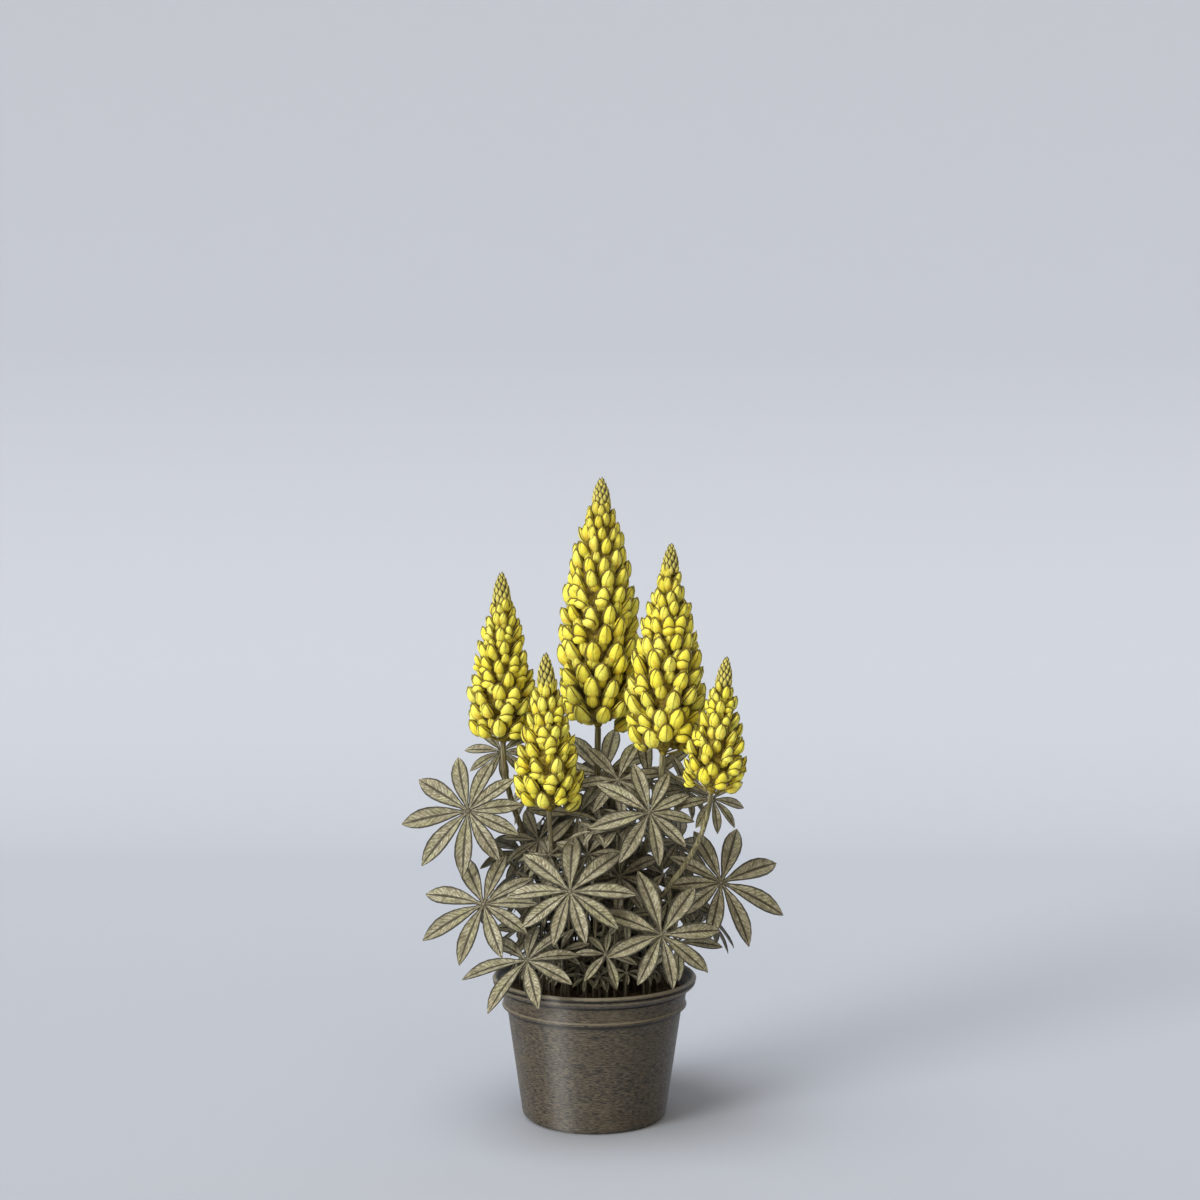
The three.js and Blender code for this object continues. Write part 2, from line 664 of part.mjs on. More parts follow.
for (const spike of SPIKES) {
  piece(`stem_${spike.name}`, leafyStemSolid(spike), STALK);
  const foot = new THREE.Vector3(...spike.foot);
  const axis = new THREE.Vector3(...spike.tip).sub(foot);
  const head = new THREE.Group();
  head.position.copy(foot);
  head.quaternion.setFromUnitVectors(new THREE.Vector3(0, 0, 1), axis.clone().normalize());
  piece(`florets_${spike.name}`, floretsSolid(spike, axis.length()), PETAL, head);
  piece(`buds_${spike.name}`, toSolid(budConeGeometry(spike, axis.length())), BUD, head);
  plant.add(head);
}

for (const leaf of BASAL_LEAVES) {
  piece(`leaf_${leaf.name}`, basalLeafSolid(leaf), LEAF);
}

export default plant;
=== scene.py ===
import json
import math

import bmesh
import bpy
from mathutils import Matrix, Vector, noise

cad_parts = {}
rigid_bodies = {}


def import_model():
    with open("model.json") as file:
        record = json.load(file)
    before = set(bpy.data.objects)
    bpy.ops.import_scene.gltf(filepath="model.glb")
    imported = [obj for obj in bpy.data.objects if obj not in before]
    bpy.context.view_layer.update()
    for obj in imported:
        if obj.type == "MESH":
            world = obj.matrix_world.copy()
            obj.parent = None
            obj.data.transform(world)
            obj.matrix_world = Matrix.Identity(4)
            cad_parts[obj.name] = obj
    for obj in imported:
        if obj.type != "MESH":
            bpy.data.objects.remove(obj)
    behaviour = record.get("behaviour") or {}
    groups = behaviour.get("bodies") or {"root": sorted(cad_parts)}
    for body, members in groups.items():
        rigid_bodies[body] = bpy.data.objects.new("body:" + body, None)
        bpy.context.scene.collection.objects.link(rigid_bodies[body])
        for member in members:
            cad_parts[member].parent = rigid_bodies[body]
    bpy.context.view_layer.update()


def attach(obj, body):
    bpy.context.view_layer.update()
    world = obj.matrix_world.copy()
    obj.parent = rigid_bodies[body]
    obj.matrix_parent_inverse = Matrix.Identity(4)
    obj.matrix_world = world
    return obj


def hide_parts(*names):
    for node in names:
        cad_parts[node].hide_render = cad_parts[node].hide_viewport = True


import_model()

# Yellow garden lupin in a nursery pot. The plan below is in millimetres, with the origin at the
# centre of the pot's underside and -Y as the front; meshes are in metres.

MM = 0.001
WELD = 1e-6  # metres within which vertices become one

# ---------------- plan of the plant

# Flower spikes: root on the soil, foot and tip of the head, its widest radius and the share of
# its height where that is, the power by which it narrows above, the share where the cone of
# tight buds begins and its radius there, the florets in one turn of its spiral, the seed of its
# small irregularities and the thickness of its stem, as a share of the full one.
SPIKES = {
    "centre": dict(root=(2, 8), foot=(3.5, 20, 375), tip=(7, 20, 623), radius=40.5, widest=0.3,
                   power=1.85, buds_from=0.88, bud_radius=11.2, around=10, seed=11, stem=1.0),
    "right": dict(root=(25, 4), foot=(66, -30, 353), tip=(74, -30, 556), radius=38.5, widest=0.3,
                  power=1.25, buds_from=0.85, bud_radius=10.2, around=10, seed=23, stem=1.0),
    "left": dict(root=(-26, 10), foot=(-90.5, 15, 361), tip=(-92, 15, 529), radius=34, widest=0.22,
                 power=1.35, buds_from=0.8, bud_radius=11.2, around=9, seed=37, stem=0.9),
    "front_left": dict(root=(-20, -14), foot=(-43, -40, 300), tip=(-46.5, -40, 451), radius=33,
                       widest=0.25, power=1.1, buds_from=0.77, bud_radius=10.8, around=8, seed=53,
                       stem=0.72),
    "front_right": dict(root=(38, -16), foot=(109.5, -72, 321), tip=(124, -72, 448.5), radius=30,
                        widest=0.25, power=1.0, buds_from=0.78, bud_radius=9.2, around=7, seed=71,
                        stem=0.76),
}

# Leaves on the stems: spike, height on its stem, hub of the blade, compass of its upper face,
# lift of that face, mean leaflet length, leaflet count and turn of the first leaflet.
STEM_LEAVES = [
    ("centre", 292, (9, 50, 324), 4, 38, 56, 9, 12),
    ("centre", 222, (10, 42, 258), 160, 36, 42, 8, 10),
    ("right", 282, (88, -16, 318), 42, 34, 36, 8, 8),
    ("left", 318, (-93, 36, 350), -10, 36, 40, 9, 4),
    ("front_left", 236, (-54, -14, 268), -20, 38, 40, 8, 14),
    ("front_left", 186, (-52, -32, 218), -14, 36, 36, 7, 8),
    ("front_right", 284, (113, -42, 312), 28, 32, 39, 8, 5),
    ("front_right", 182, (70, -42, 214), 16, 34, 34, 7, 16),
]

# Basal leaves: name, root on the soil, hub, compass, lift, mean leaflet length, leaflet count,
# turn of the first leaflet and the side of the blade that the shorter leaflets are on.
BASAL_LEAVES = [
    ("left_high", (-38, 0), (-121, -31, 299), -11, 24, 61, 10, 8, 80),
    ("left_mid", (-40, -14), (-104, -61, 215), -14, 39, 59, 9, 41, 90),
    ("front", (-9, -38), (-22, -95, 233), -6, 40, 60, 9, -3, 180),
    ("right_low", (20, -40), (62, -97, 194), 12, 28, 57, 8, 35, 180),
    ("right_high", (14, -24), (52, -66, 302), 8, 28, 51, 9, 20, 90),
    ("right_mid", (46, -2), (122, -29, 230), 17, 33, 62, 9, 34, -90),
    ("rim_left", (-28, -36), (-62, -88, 168), -24, 54, 56, 8, 22, 60),
    ("rim_front", (0, -52), (11, -88, 174), 6, 40, 29, 7, 12, 0),
    ("inner_front", (4, -22), (24, -52, 240), 10, 36, 44, 8, 10, 180),
    ("inner_right", (36, 10), (82, 14, 262), 50, 36, 46, 8, 8, -90),
    ("inner_mid", (-12, -26), (-6, -60, 262), -10, 34, 34, 8, 30, 180),
    ("inner_low", (11, -44), (30, -60, 205), 4, 32, 30, 7, 24, 180),
    ("back_left", (-24, 32), (-74, 80, 243), -145, 36, 54, 9, 14, 180),
    ("back", (0, 42), (14, 108, 222), 178, 40, 55, 9, 20, 180),
    ("back_right", (24, 30), (76, 92, 244), 138, 36, 57, 9, 5, 180),
    ("far_left", (-46, 14), (-106, 34, 198), -100, 36, 54, 8, 12, 180),
    ("far_right", (50, 14), (110, 42, 186), 108, 40, 54, 8, 12, 180),
    ("back_high", (-8, 26), (-30, 98, 304), -168, 32, 48, 8, 15, 180),
    ("rim_back_right", (14, 48), (48, 100, 170), 155, 56, 50, 8, 8, 0),
    ("rim_back_left", (-20, 46), (-42, 102, 174), -158, 54, 50, 8, 18, 0),
    ("heart", (-6, -4), (-16, -13, 293), 5, 27, 47, 7, 30, 180),
    ("low_right", (32, -24), (80, -40, 175), 7, 48, 45, 7, 32, 180),
    ("upper_left", (-24, 20), (-59, 37, 313), -54, 28, 49, 7, 2, 180),
    ("upper_right", (18, 7), (55, 11, 323), -20, 27, 48, 7, 36, 180),
    ("heart_high", (10, -8), (23, -31, 329), -4, 37, 45, 7, 16, 180),
    ("heart_right", (35, -8), (80, -13, 217), -3, 48, 46, 7, 9, 180),
    ("low_left", (-34, 15), (-60, 36, 172), 17, 27, 40, 7, 28, 180),
]
SHORT_SIDE = 180  # of the leaves on the stems

ROOT_DEPTH = 112  # height where stems and petioles start, inside the soil
STRAIGHT_TOP = 133  # and where they begin to bend
STEM_RADIUS = 3.4
STEM_TAPER = (1.12, 1.05, 0.92)  # shares of the radius at the root, the bend and the end
STEM_BEND = 0.42
PETIOLE_RADIUS = 1.6
PETIOLE_TAPER = (1.25, 1.15, 0.85)
SIDE_PETIOLE_TAPER = (1.2, 0.85)  # of the petioles that spring from a stem
PETIOLE_BEND = 0.4
YOUNG_PETIOLE_RADII = (1.2, 1.1, 0.8)

GOLDEN_ANGLE = 137.5  # degrees between things that grow one after another
SHORTENING = 0.14  # of the leaflets on the short side
CROWDING = 8  # degrees that leaflets turn towards the short side
LEAFLET_RISE = 0.10
LEAFLET_DROOP = 0.26
LEAFLET_FOLD = 0.3  # rise of a leaflet's edge for its half width
LEAFLET_FOLD_HALFWAY = 0.16
LEAFLET_THICKNESS = 0.013
LEAFLET_ROLL = 14  # degrees that a leaflet may be off its place
LEAFLET_NOD = 7
KNOB_RADIUS = 2.2  # where the leaflets of a blade meet

# Young leaves in the heart of the plant, seedlings on the soil and young leaves at the back: how
# many, the seed of the first one's blade, and the arc that they stand in. Then, as a least value
# and a play: how far out their roots are, how much further out their hubs, how high those are and
# the leaflets' length. Last, how much they crowd towards the lowest height.
YOUNG_LEAVES = [
    (66, 900, 360, (10, 48), (6, 12), (150, 140), (22, 14), 1.1),
    (24, 400, 360, (52, 22), (2, 0), (139, 14), (13, 6), 1.0),
    (28, 700, 180, (24, 34), (14, 0), (170, 130), (26, 12), 1.0),
]

FLORET_LENGTH = 0.62  # of the lowest florets, as a share of the head's radius
FLORET_TAPER = 0.66  # shortening from the foot of a head to its tip
FLORET_TILT = (46, 13)  # degrees off the axis at the foot and at the tip of a head
TURN_RISE = 0.75  # of the spiral in one turn, as a share of the floret's length
FOOT_FULLNESS = 0.85  # radius at a head's foot, as a share of its widest radius
OPEN_SHARE = 0.28  # of the florets are in flower, below this share of the head's height
OPEN_BELOW = 0.6
GREEN_FROM = 0.62  # share of the height where florets turn green and stand alone
SUNKEN_SIZE = 0.82  # of the smaller florets between the others, and how far they are sunk
SUNKEN_BY = 0.16  # share of the head's radius
LENGTH_PLAY = 0.16  # of a floret, as a share of its length
WIDTH_PLAY = 0.14
TILT_PLAY = 18  # degrees
ROLL_PLAY = 50
TURN_PLAY = 0.36  # share of the step between two florets
HEIGHT_PLAY = 0.2  # share of the head's radius, and more at its foot
FOOT_HEIGHT_PLAY = 0.42
BELLY = (0.46, 0.29)  # where a floret is widest: how far up its axis, and how far out from it
TIP_RIM = 0.62  # how far round to its dark rim a petal's tip counts as
PEDICEL_RADIUS = 0.8
BUD_COUNT = 46  # of one cone of tight buds

POT_HEIGHT = 136
LIP_RADIUS = 100
LIP_LOW = 123
COLLAR_RADIUS = 91.5
COLLAR_LOW = 106
SHELF_HEIGHT = 104
BODY_TOP_RADIUS = 85.5
BASE_RADIUS = 70.4
WALL = 2.2
FLOOR = 3
POT_STEPS = 96  # of the pot and the soil round their axis
DRAIN_COUNT = 8
DRAIN_RADIUS = 4.5
DRAIN_CIRCLE = 50  # radius of the ring of drain holes
DRAIN_DRILL = 12
SOIL_EDGE = 121
SOIL_CROWN = 127
SOIL_GAP = 0.3  # between the soil and the pot
SOIL_RINGS = 26
SOIL_RELIEF = 1.3
SOIL_CRUMBS = 1.6


# ---------------- modelling helpers

def seeded_draws(seed):
    """Repeatable draws between 0 and 1."""
    state = seed
    while True:
        state = (state * 16807) % 2147483647
        yield state / 2147483647


def metres(point):
    return Vector(point) * MM


def deselect_all():
    for thing in bpy.context.view_layer.objects:
        thing.select_set(False)


def alone(thing):
    """Makes one object the only selected one and the active one."""
    deselect_all()
    thing.select_set(True)
    bpy.context.view_layer.objects.active = thing
    return thing


def pick(test):
    """In edit mode, selects the vertices whose place passes the test."""
    bpy.ops.mesh.select_all(action="DESELECT")
    mesh = bmesh.from_edit_mesh(bpy.context.edit_object.data)
    for vertex in mesh.verts:
        vertex.select = test(vertex.co)
    mesh.select_flush(True)
    bmesh.update_edit_mesh(bpy.context.edit_object.data)


def edit_mode():
    bpy.ops.object.mode_set(mode="EDIT")
    bpy.ops.mesh.select_all(action="SELECT")


def object_mode():
    bpy.ops.object.mode_set(mode="OBJECT")


def shift(x, y, z):
    bpy.ops.transform.translate(value=(x, y, z))


def bearing(turn):
    return Vector((math.cos(turn), math.sin(turn), 0))


def near(value, wanted, slack=1e-4):
    return abs(value - wanted) < slack


def shape_rings(rings):
    """Gives each ring of a body that stands on the origin its new height, half width and place.

    A ring is its height now, its height then, its half width then along X and Y, and how far
    out along X its middle goes. Rings are taken from the top down so that none runs into the next.
    """
    for now, then, half_x, half_y, out in rings:
        pick(lambda place: near(place.z, now, 0.004))
        mesh = bmesh.from_edit_mesh(bpy.context.edit_object.data)
        reach = max((v.co.to_2d().length for v in mesh.verts if v.select), default=0)
        if reach > WELD:
            size = (half_x / reach, half_y / reach, 1)
            bpy.ops.transform.resize(value=size, center_override=(0, 0, now))
        shift(out, 0, then - now)


def apply_modifier(thing, kind, **settings):
    alone(thing)
    bpy.ops.object.modifier_add(type=kind)
    modifier = thing.modifiers[-1]
    for key, value in settings.items():
        setattr(modifier, key, value)
    bpy.ops.object.modifier_apply(modifier=modifier.name)


def write_growth(thing, values):
    """Stores four numbers a vertex for the materials: rim, along, tint and side."""
    attribute = thing.data.attributes.new("growth", "FLOAT_COLOR", "POINT")
    for vertex, value in zip(thing.data.vertices, attribute.data):
        value.color = values(vertex.co)


def copy_of(template, place, tint, side=None):
    """A copy of a template with its own mesh, moved to its place and given its own tint."""
    copy = template.copy()
    copy.data = template.data.copy()
    copy.data.transform(place)
    growth = copy.data.attributes["growth"].data
    for value in growth:
        rim, along, _, old_side = value.color
        value.color = (rim, along, tint, old_side if side is None else side)
    bpy.context.collection.objects.link(copy)
    return copy


def joined(name, parts):
    """Joins the parts into one object of that name."""
    deselect_all()
    for part in parts:
        part.select_set(True)
    bpy.context.view_layer.objects.active = parts[0]
    if len(parts) > 1:
        bpy.ops.object.join()
    whole = bpy.context.view_layer.objects.active
    whole.name = name
    whole.data.name = name
    bpy.ops.object.transform_apply(location=True, rotation=True, scale=True)
    return whole


def smooth(thing, angle=None):
    alone(thing)
    if angle is None:
        bpy.ops.object.shade_smooth()
    else:
        bpy.ops.object.shade_smooth_by_angle(angle=math.radians(angle))


def give(thing, material):
    thing.data.materials.clear()
    thing.data.materials.append(material)
    return thing


def tube(points, radii, material, sides, smoothness):
    """A tube along a Bezier curve. A point is its place and its two handles, in millimetres."""
    bpy.ops.curve.primitive_bezier_curve_add()
    thing = bpy.context.object
    curve = thing.data
    curve.dimensions = "3D"
    spline = curve.splines[0]
    spline.bezier_points.add(len(points) - 2)
    spline.resolution_u = smoothness
    curve.bevel_depth = MM
    curve.bevel_resolution = (sides - 4) // 2
    curve.use_fill_caps = True
    for knot, (place, before, after), radius in zip(spline.bezier_points, points, radii):
        knot.handle_left_type = "FREE"
        knot.handle_right_type = "FREE"
        knot.co = metres(place)
        knot.handle_left = metres(before)
        knot.handle_right = metres(after)
        knot.radius = radius
    alone(thing)
    bpy.ops.object.convert(target="MESH")
    thing = bpy.context.object
    edit_mode()
    bpy.ops.mesh.remove_doubles(threshold=WELD)
    bpy.ops.mesh.normals_make_consistent(inside=False)
    object_mode()
    smooth(thing, 50)
    return give(thing, material)


def finished(thing, slot, *nodes):
    """Rides the piece on the plant's one body and hides the nodes that it stands for; the slot is not
    used.
    """
    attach(thing, "root")
    if nodes:
        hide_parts(*nodes)
    return thing


# ---------------- materials

class Finish:
    """A material under construction: each call adds a node and returns its output."""

    def __init__(self, name, **sockets):
        self.material = bpy.data.materials.new(name)
        self.material.use_nodes = True
        self.tree = self.material.node_tree
        self.shader = self.tree.nodes["Principled BSDF"]
        for key, value in sockets.items():
            self.shader.inputs[key.replace("_", " ")].default_value = value

    def node(self, kind, links=(), **settings):
        node = self.tree.nodes.new(kind)
        for key, value in settings.items():
            setattr(node, key, value)
        for socket, value in dict(links).items():
            if isinstance(value, bpy.types.NodeSocket):
                self.tree.links.new(value, node.inputs[socket])
            else:
                node.inputs[socket].default_value = value
        return node

    def growth(self):
        source = self.node("ShaderNodeAttribute", attribute_name="growth")
        parts = self.node("ShaderNodeSeparateColor", {0: source.outputs["Color"]})
        return parts.outputs[0], parts.outputs[1], parts.outputs[2], source.outputs["Alpha"]

    def place(self, scale=(1, 1, 1)):
        source = self.node("ShaderNodeTexCoord")
        mapping = self.node("ShaderNodeMapping", {"Vector": source.outputs["Object"], "Scale": scale})
        return mapping.outputs[0]

    def height(self):
        return self.node("ShaderNodeSeparateXYZ", {0: self.place()}).outputs[2]

    def vector(self, *parts):
        return self.node("ShaderNodeCombineXYZ", dict(enumerate(parts))).outputs[0]

    def painted_inner_shade(self):
        """1 in the middle of the foliage and 0 outside, by the place in the plant: where shade is
        painted inside the foliage.
        """
        source = self.node("ShaderNodeTexCoord")
        inside = self.node("ShaderNodeMapping", {
            "Vector": source.outputs["Object"],
            "Scale": (10.5, 10.5, 5.7),
            "Location": (0, -0.1, -1.08),
        }).outputs[0]
        length = self.node("ShaderNodeVectorMath", {0: inside}, operation="LENGTH").outputs["Value"]
        return self.math("SUBTRACT", 1.0, self.steps(length, 0.72, 1.12))

    def noise(self, vector, scale, detail=3.0, roughness=0.5):
        links = {"Vector": vector, "Scale": scale, "Detail": detail, "Roughness": roughness}
        return self.node("ShaderNodeTexNoise", links).outputs["Fac"]

    def cells(self, vector, scale):
        return self.node("ShaderNodeTexVoronoi", {"Vector": vector, "Scale": scale}).outputs["Distance"]

    def math(self, operation, first, second=0.5, clamp=False):
        return self.node("ShaderNodeMath", {0: first, 1: second}, operation=operation,
                         use_clamp=clamp).outputs[0]

    def steps(self, value, low, high, to_low=0.0, to_high=1.0):
        links = {0: value, 1: low, 2: high, 3: to_low, 4: to_high}
        return self.node("ShaderNodeMapRange", links, interpolation_type="SMOOTHSTEP").outputs[0]

    def blend(self, share, first, second):
        node = self.node("ShaderNodeMix", {0: share}, data_type="RGBA")
        for index, value in ((6, first), (7, second)):
            if isinstance(value, bpy.types.NodeSocket):
                self.tree.links.new(value, node.inputs[index])
            else:
                node.inputs[index].default_value = value
        return node.outputs[2]

    def times(self, first, second):
        return self.math("MULTIPLY", first, second)

    def lay(self, mask, strength, colour):
        """Lays a colour over the body so far, where the mask is up and only to that strength."""
        self.body = self.blend(self.times(mask, strength), self.body, rgb(*colour))

    def roughness(self, value):
        self.tree.links.new(value, self.shader.inputs["Roughness"])

    def done(self, height, strength, distance):
        """Gives the shader the body's colour and a bump, and returns the material."""
        links = {"Height": height, "Strength": strength, "Distance": distance}
        node = self.node("ShaderNodeBump", links)
        self.tree.links.new(node.outputs[0], self.shader.inputs["Normal"])
        self.tree.links.new(self.body, self.shader.inputs["Base Color"])
        return self.material


def rgb(red, green, blue):
    """A colour given in everyday 0 to 255 values, as the shader wants it."""
    def linear(value):
        value /= 255
        return value / 12.92 if value <= 0.04045 else ((value + 0.055) / 1.055) ** 2.4
    return (linear(red), linear(green), linear(blue), 1.0)


def petal_finish():
    finish = Finish("lemon petal", Roughness=0.5, Specular_IOR_Level=0.25, Sheen_Weight=0.08,
                    Subsurface_Weight=0.3, Subsurface_Scale=0.003, Subsurface_Radius=(1.0, 0.8, 0.3))
    rim, along, tint, green = finish.growth()
    place = finish.place()
    speckle = finish.noise(place, 900, 2.0)
    cloud = finish.noise(place, 120, 2.0)
    finish.body = finish.blend(tint, rgb(255, 253, 116), rgb(255, 243, 74))
    ochre = finish.math("MULTIPLY", finish.steps(cloud, 0.47, 0.62), finish.steps(along, 0.85, 0.25),
                        True)
    finish.lay(ochre, 0.6, (250, 194, 56))
    mottle = finish.noise(place, 420, 3.0, 0.6)
    finish.lay(finish.steps(mottle, 0.52, 0.66), 0.55, (232, 190, 60))
    flow = finish.vector(finish.times(rim, 9.0), finish.times(along, 1.8), finish.times(tint, 60.0))
    streaks = finish.noise(flow, 2.0, 3.0, 0.6)
    finish.lay(finish.steps(streaks, 0.52, 0.64), 0.4, (190, 158, 40))
    finish.lay(finish.steps(speckle, 0.55, 0.72), 0.3, (214, 186, 44))
    finish.lay(green, 0.7, (200, 180, 62))
    # painted shade: the sides and backs of the florets darker, with a dark line round the back where
    # each meets its neighbours
    finish.lay(finish.steps(rim, 0.5, 0.7), 0.3, (170, 140, 30))
    finish.lay(finish.steps(rim, 0.66, 0.84), 0.92, (78, 61, 20))
    finish.lay(finish.steps(along, 0.22, 0.06), 0.85, (124, 108, 40))
    return finish.done(speckle, 0.25, 0.0004)


def bud_finish():
    finish = Finish("downy bud", Roughness=0.7, Specular_IOR_Level=0.3, Sheen_Weight=0.2)
    rim, along, tint, _ = finish.growth()
    speckle = finish.noise(finish.place(), 1100, 2.0)
    finish.body = finish.blend(tint, rgb(226, 214, 104), rgb(190, 180, 88))
    finish.lay(finish.steps(along, 0.6, 1.0), 1.0, (146, 138, 70))
    # painted shade: a dark line round the back of each bud where it meets its neighbours
    finish.lay(finish.steps(rim, 0.38, 0.66), 1.0, (62, 56, 28))
    finish.lay(finish.steps(along, 0.25, 0.05), 1.0, (66, 60, 30))
    return finish.done(speckle, 0.3, 0.0003)


def heart_finish():
    finish = Finish("shaded heart of the head", Roughness=0.85, Specular_IOR_Level=0.2)
    lumps = finish.noise(finish.place(), 260, 3.0)
    # the dark colour partly paints the shade in the gaps between the florets
    finish.body = finish.blend(finish.steps(lumps, 0.35, 0.65), rgb(104, 88, 38), rgb(164, 146, 60))
    return finish.done(lumps, 0.8, 0.002)


def leaf_finish():
    finish = Finish("silky leaf", Roughness=0.6, Specular_IOR_Level=0.35, Sheen_Weight=0.15)
    across, along, tint, upper = finish.growth()
    place = finish.place()
    mottle = finish.noise(place, 220, 4.0, 0.6)
    grain = finish.noise(place, 1500, 2.0)
    finish.body = finish.blend(tint, rgb(208, 204, 178), rgb(181, 176, 150))
    patches = finish.noise(place, 60, 2.0)
    finish.lay(finish.steps(patches, 0.5, 0.62), 0.4, (186, 190, 132))
    finish.lay(finish.steps(patches, 0.46, 0.34), 0.35, (190, 172, 134))
    finish.lay(finish.steps(mottle, 0.38, 0.66), 1.0, (139, 133, 106))
    finish.lay(finish.steps(grain, 0.48, 0.66), 0.5, (84, 79, 52))
    slant = finish.math("ADD", finish.times(along, 13.0), finish.times(across, -2.4))
    rib = finish.math("ABSOLUTE", finish.math("SUBTRACT", finish.math("FRACT", slant), 0.5))
    veins = finish.steps(rib, 0.17, 0.03)
    finish.lay(veins, 0.6, (84, 75, 50))
    flow = finish.vector(finish.times(slant, 2.2), across, finish.times(tint, 90.0))
    streaks = finish.noise(flow, 2.4, 3.0, 0.6)
    finish.lay(finish.steps(streaks, 0.45, 0.58), 0.62, (78, 70, 48))
    midrib = finish.steps(across, 0.2, 0.08)
    finish.lay(midrib, 0.92, (48, 43, 28))
    # dark leaflet margins, widened near the hub into painted shade where the leaflets crowd together
    hub_shade = finish.times(finish.steps(along, 0.34, 0.06), 0.34)
    margin_and_hub_shade = finish.steps(finish.math("ADD", across, hub_shade), 0.74, 0.90)
    finish.lay(margin_and_hub_shade, 0.92, (46, 42, 28))
    finish.lay(finish.math("SUBTRACT", 1.0, upper), 0.35, (118, 114, 84))
    # painted shade: leaves darker in the middle of the foliage
    finish.lay(finish.painted_inner_shade(), 0.34, (72, 62, 46))
    relief = finish.math("SUBTRACT", finish.times(grain, 0.3), finish.math("ADD", veins, midrib))
    return finish.done(relief, 0.35, 0.0006)


def stalk_finish():
    finish = Finish("ribbed stalk", Roughness=0.65, Specular_IOR_Level=0.35, Sheen_Weight=0.2)
    streaks = finish.noise(finish.place((1, 1, 0.06)), 900, 3.0)
    cloud = finish.noise(finish.place(), 60, 2.0)
    finish.body = finish.blend(finish.steps(streaks, 0.4, 0.62), rgb(84, 78, 52), rgb(150, 144, 104))
    finish.lay(finish.steps(cloud, 0.45, 0.7), 0.5, (104, 88, 58))
    # painted shade: stalks darker in the middle of the foliage
    finish.lay(finish.painted_inner_shade(), 0.5, (66, 57, 42))
    # painted shade: stalks darker low down among the leaves, near the soil
    finish.lay(finish.steps(finish.height(), 0.2, 0.135), 0.7, (52, 42, 30))
    return finish.done(streaks, 0.5, 0.0006)


# Painted shade in the pot's creases and under its collar and lip, and painted highlights with some wear
# on its edges: height, half width, strength and colour.
POT_SHADE_AND_HIGHLIGHT_LINES = [
    (COLLAR_LOW - 1.4, 2.6, 0.85, (16, 13, 11)),
    (COLLAR_LOW + 3.4, 1.0, 0.5, (150, 142, 120)),
    (LIP_LOW + 0.8, 2.4, 0.95, (16, 13, 11)),
    (LIP_LOW + 6.2, 1.1, 0.35, (140, 130, 108)),
    (LIP_LOW + 8.8, 1.3, 0.95, (14, 11, 9)),
    (POT_HEIGHT - 1.0, 1.6, 0.5, (156, 148, 124)),
]


def pot_finish():
    finish = Finish("nursery pot plastic", Specular_IOR_Level=1.0, Anisotropic=0.9,
                    Anisotropic_Rotation=0.25)
    lines = finish.noise(finish.place((0.1, 0.1, 1)), 2100, 2.0, 0.6)
    scuffs = finish.noise(finish.place((0.35, 0.35, 1)), 60, 3.0, 0.6)
    finish.body = finish.blend(finish.steps(lines, 0.40, 0.60), rgb(12, 10, 9), rgb(98, 88, 70))
    finish.lay(finish.steps(scuffs, 0.5, 0.75), 0.3, (108, 99, 80))
    height = finish.height()
    # painted shade and painted highlights in bands round the pot, with some wear on the light ones
    for level, half, depth, colour in POT_SHADE_AND_HIGHLIGHT_LINES:
        away = finish.math("ABSOLUTE", finish.math("SUBTRACT", height, level * MM))
        finish.lay(finish.steps(away, half * MM, 0.4 * half * MM), depth, colour)
    dust = finish.noise(finish.place(), 45, 4.0, 0.7)
    finish.lay(finish.steps(dust, 0.56, 0.78), 0.25, (84, 70, 54))
    finish.roughness(finish.steps(scuffs, 0.35, 0.7, 0.56, 0.66))
    around = finish.node("ShaderNodeTangent", direction_type="RADIAL", axis="Z")
    finish.tree.links.new(around.outputs[0], finish.shader.inputs["Tangent"])
    return finish.done(finish.math("ADD", lines, finish.times(scuffs, 0.5)), 0.22, 0.0006)


def soil_finish():
    finish = Finish("potting soil", Roughness=0.95, Specular_IOR_Level=0.15)
    place = finish.place()
    lumps = finish.noise(place, 160, 5.0, 0.7)
    fibres = finish.cells(place, 420)
    finish.body = finish.blend(finish.steps(lumps, 0.35, 0.68), rgb(56, 46, 35), rgb(110, 92, 70))
    finish.lay(finish.steps(fibres, 0.18, 0.0), 0.5, (116, 98, 74))
    return finish.done(lumps, 0.9, 0.002)


# ---------------- templates

def egg(rings, segments, heights):
    """A closed body with rings of vertices, from a ball that is then shaped ring by ring."""
    bpy.ops.mesh.primitive_uv_sphere_add(segments=segments, ring_count=heights + 1, radius=0.5,
                                         location=(0, 0, 0.5))
    thing = alone(bpy.context.object)
    bpy.ops.object.transform_apply(location=True)
    edit_mode()
    now = [0.5 - 0.5 * math.cos(math.pi * i / (heights + 1)) for i in range(heights + 2)]
    plan = [(now[i],) + ring for i, ring in enumerate(rings)]
    upper = [ring for ring in reversed(plan) if ring[1] >= ring[0]]
    lower = [ring for ring in plan if ring[1] < ring[0]]
    shape_rings(upper + lower)
    object_mode()
    bpy.ops.object.shade_smooth()
    return thing


def petal_body(rings, segments=8):
    """A plump petal from rings of height, half depth, half width and place out along X.

    Its growth holds the rim, 0 on the outer face and 1 round the back, and its height.
    """
    thing = egg(rings, segments, len(rings) - 2)

    def values(place):
        ring = min(rings, key=lambda ring: abs(ring[0] - place.z))
        rim = math.atan2(abs(place.y), place.x - ring[3]) / math.pi
        if ring is rings[-1]:
            rim = TIP_RIM
        return (rim, min(1, max(0, place.z / rings[-1][0])), 0.5, 0.0)

    write_growth(thing, values)
    return thing


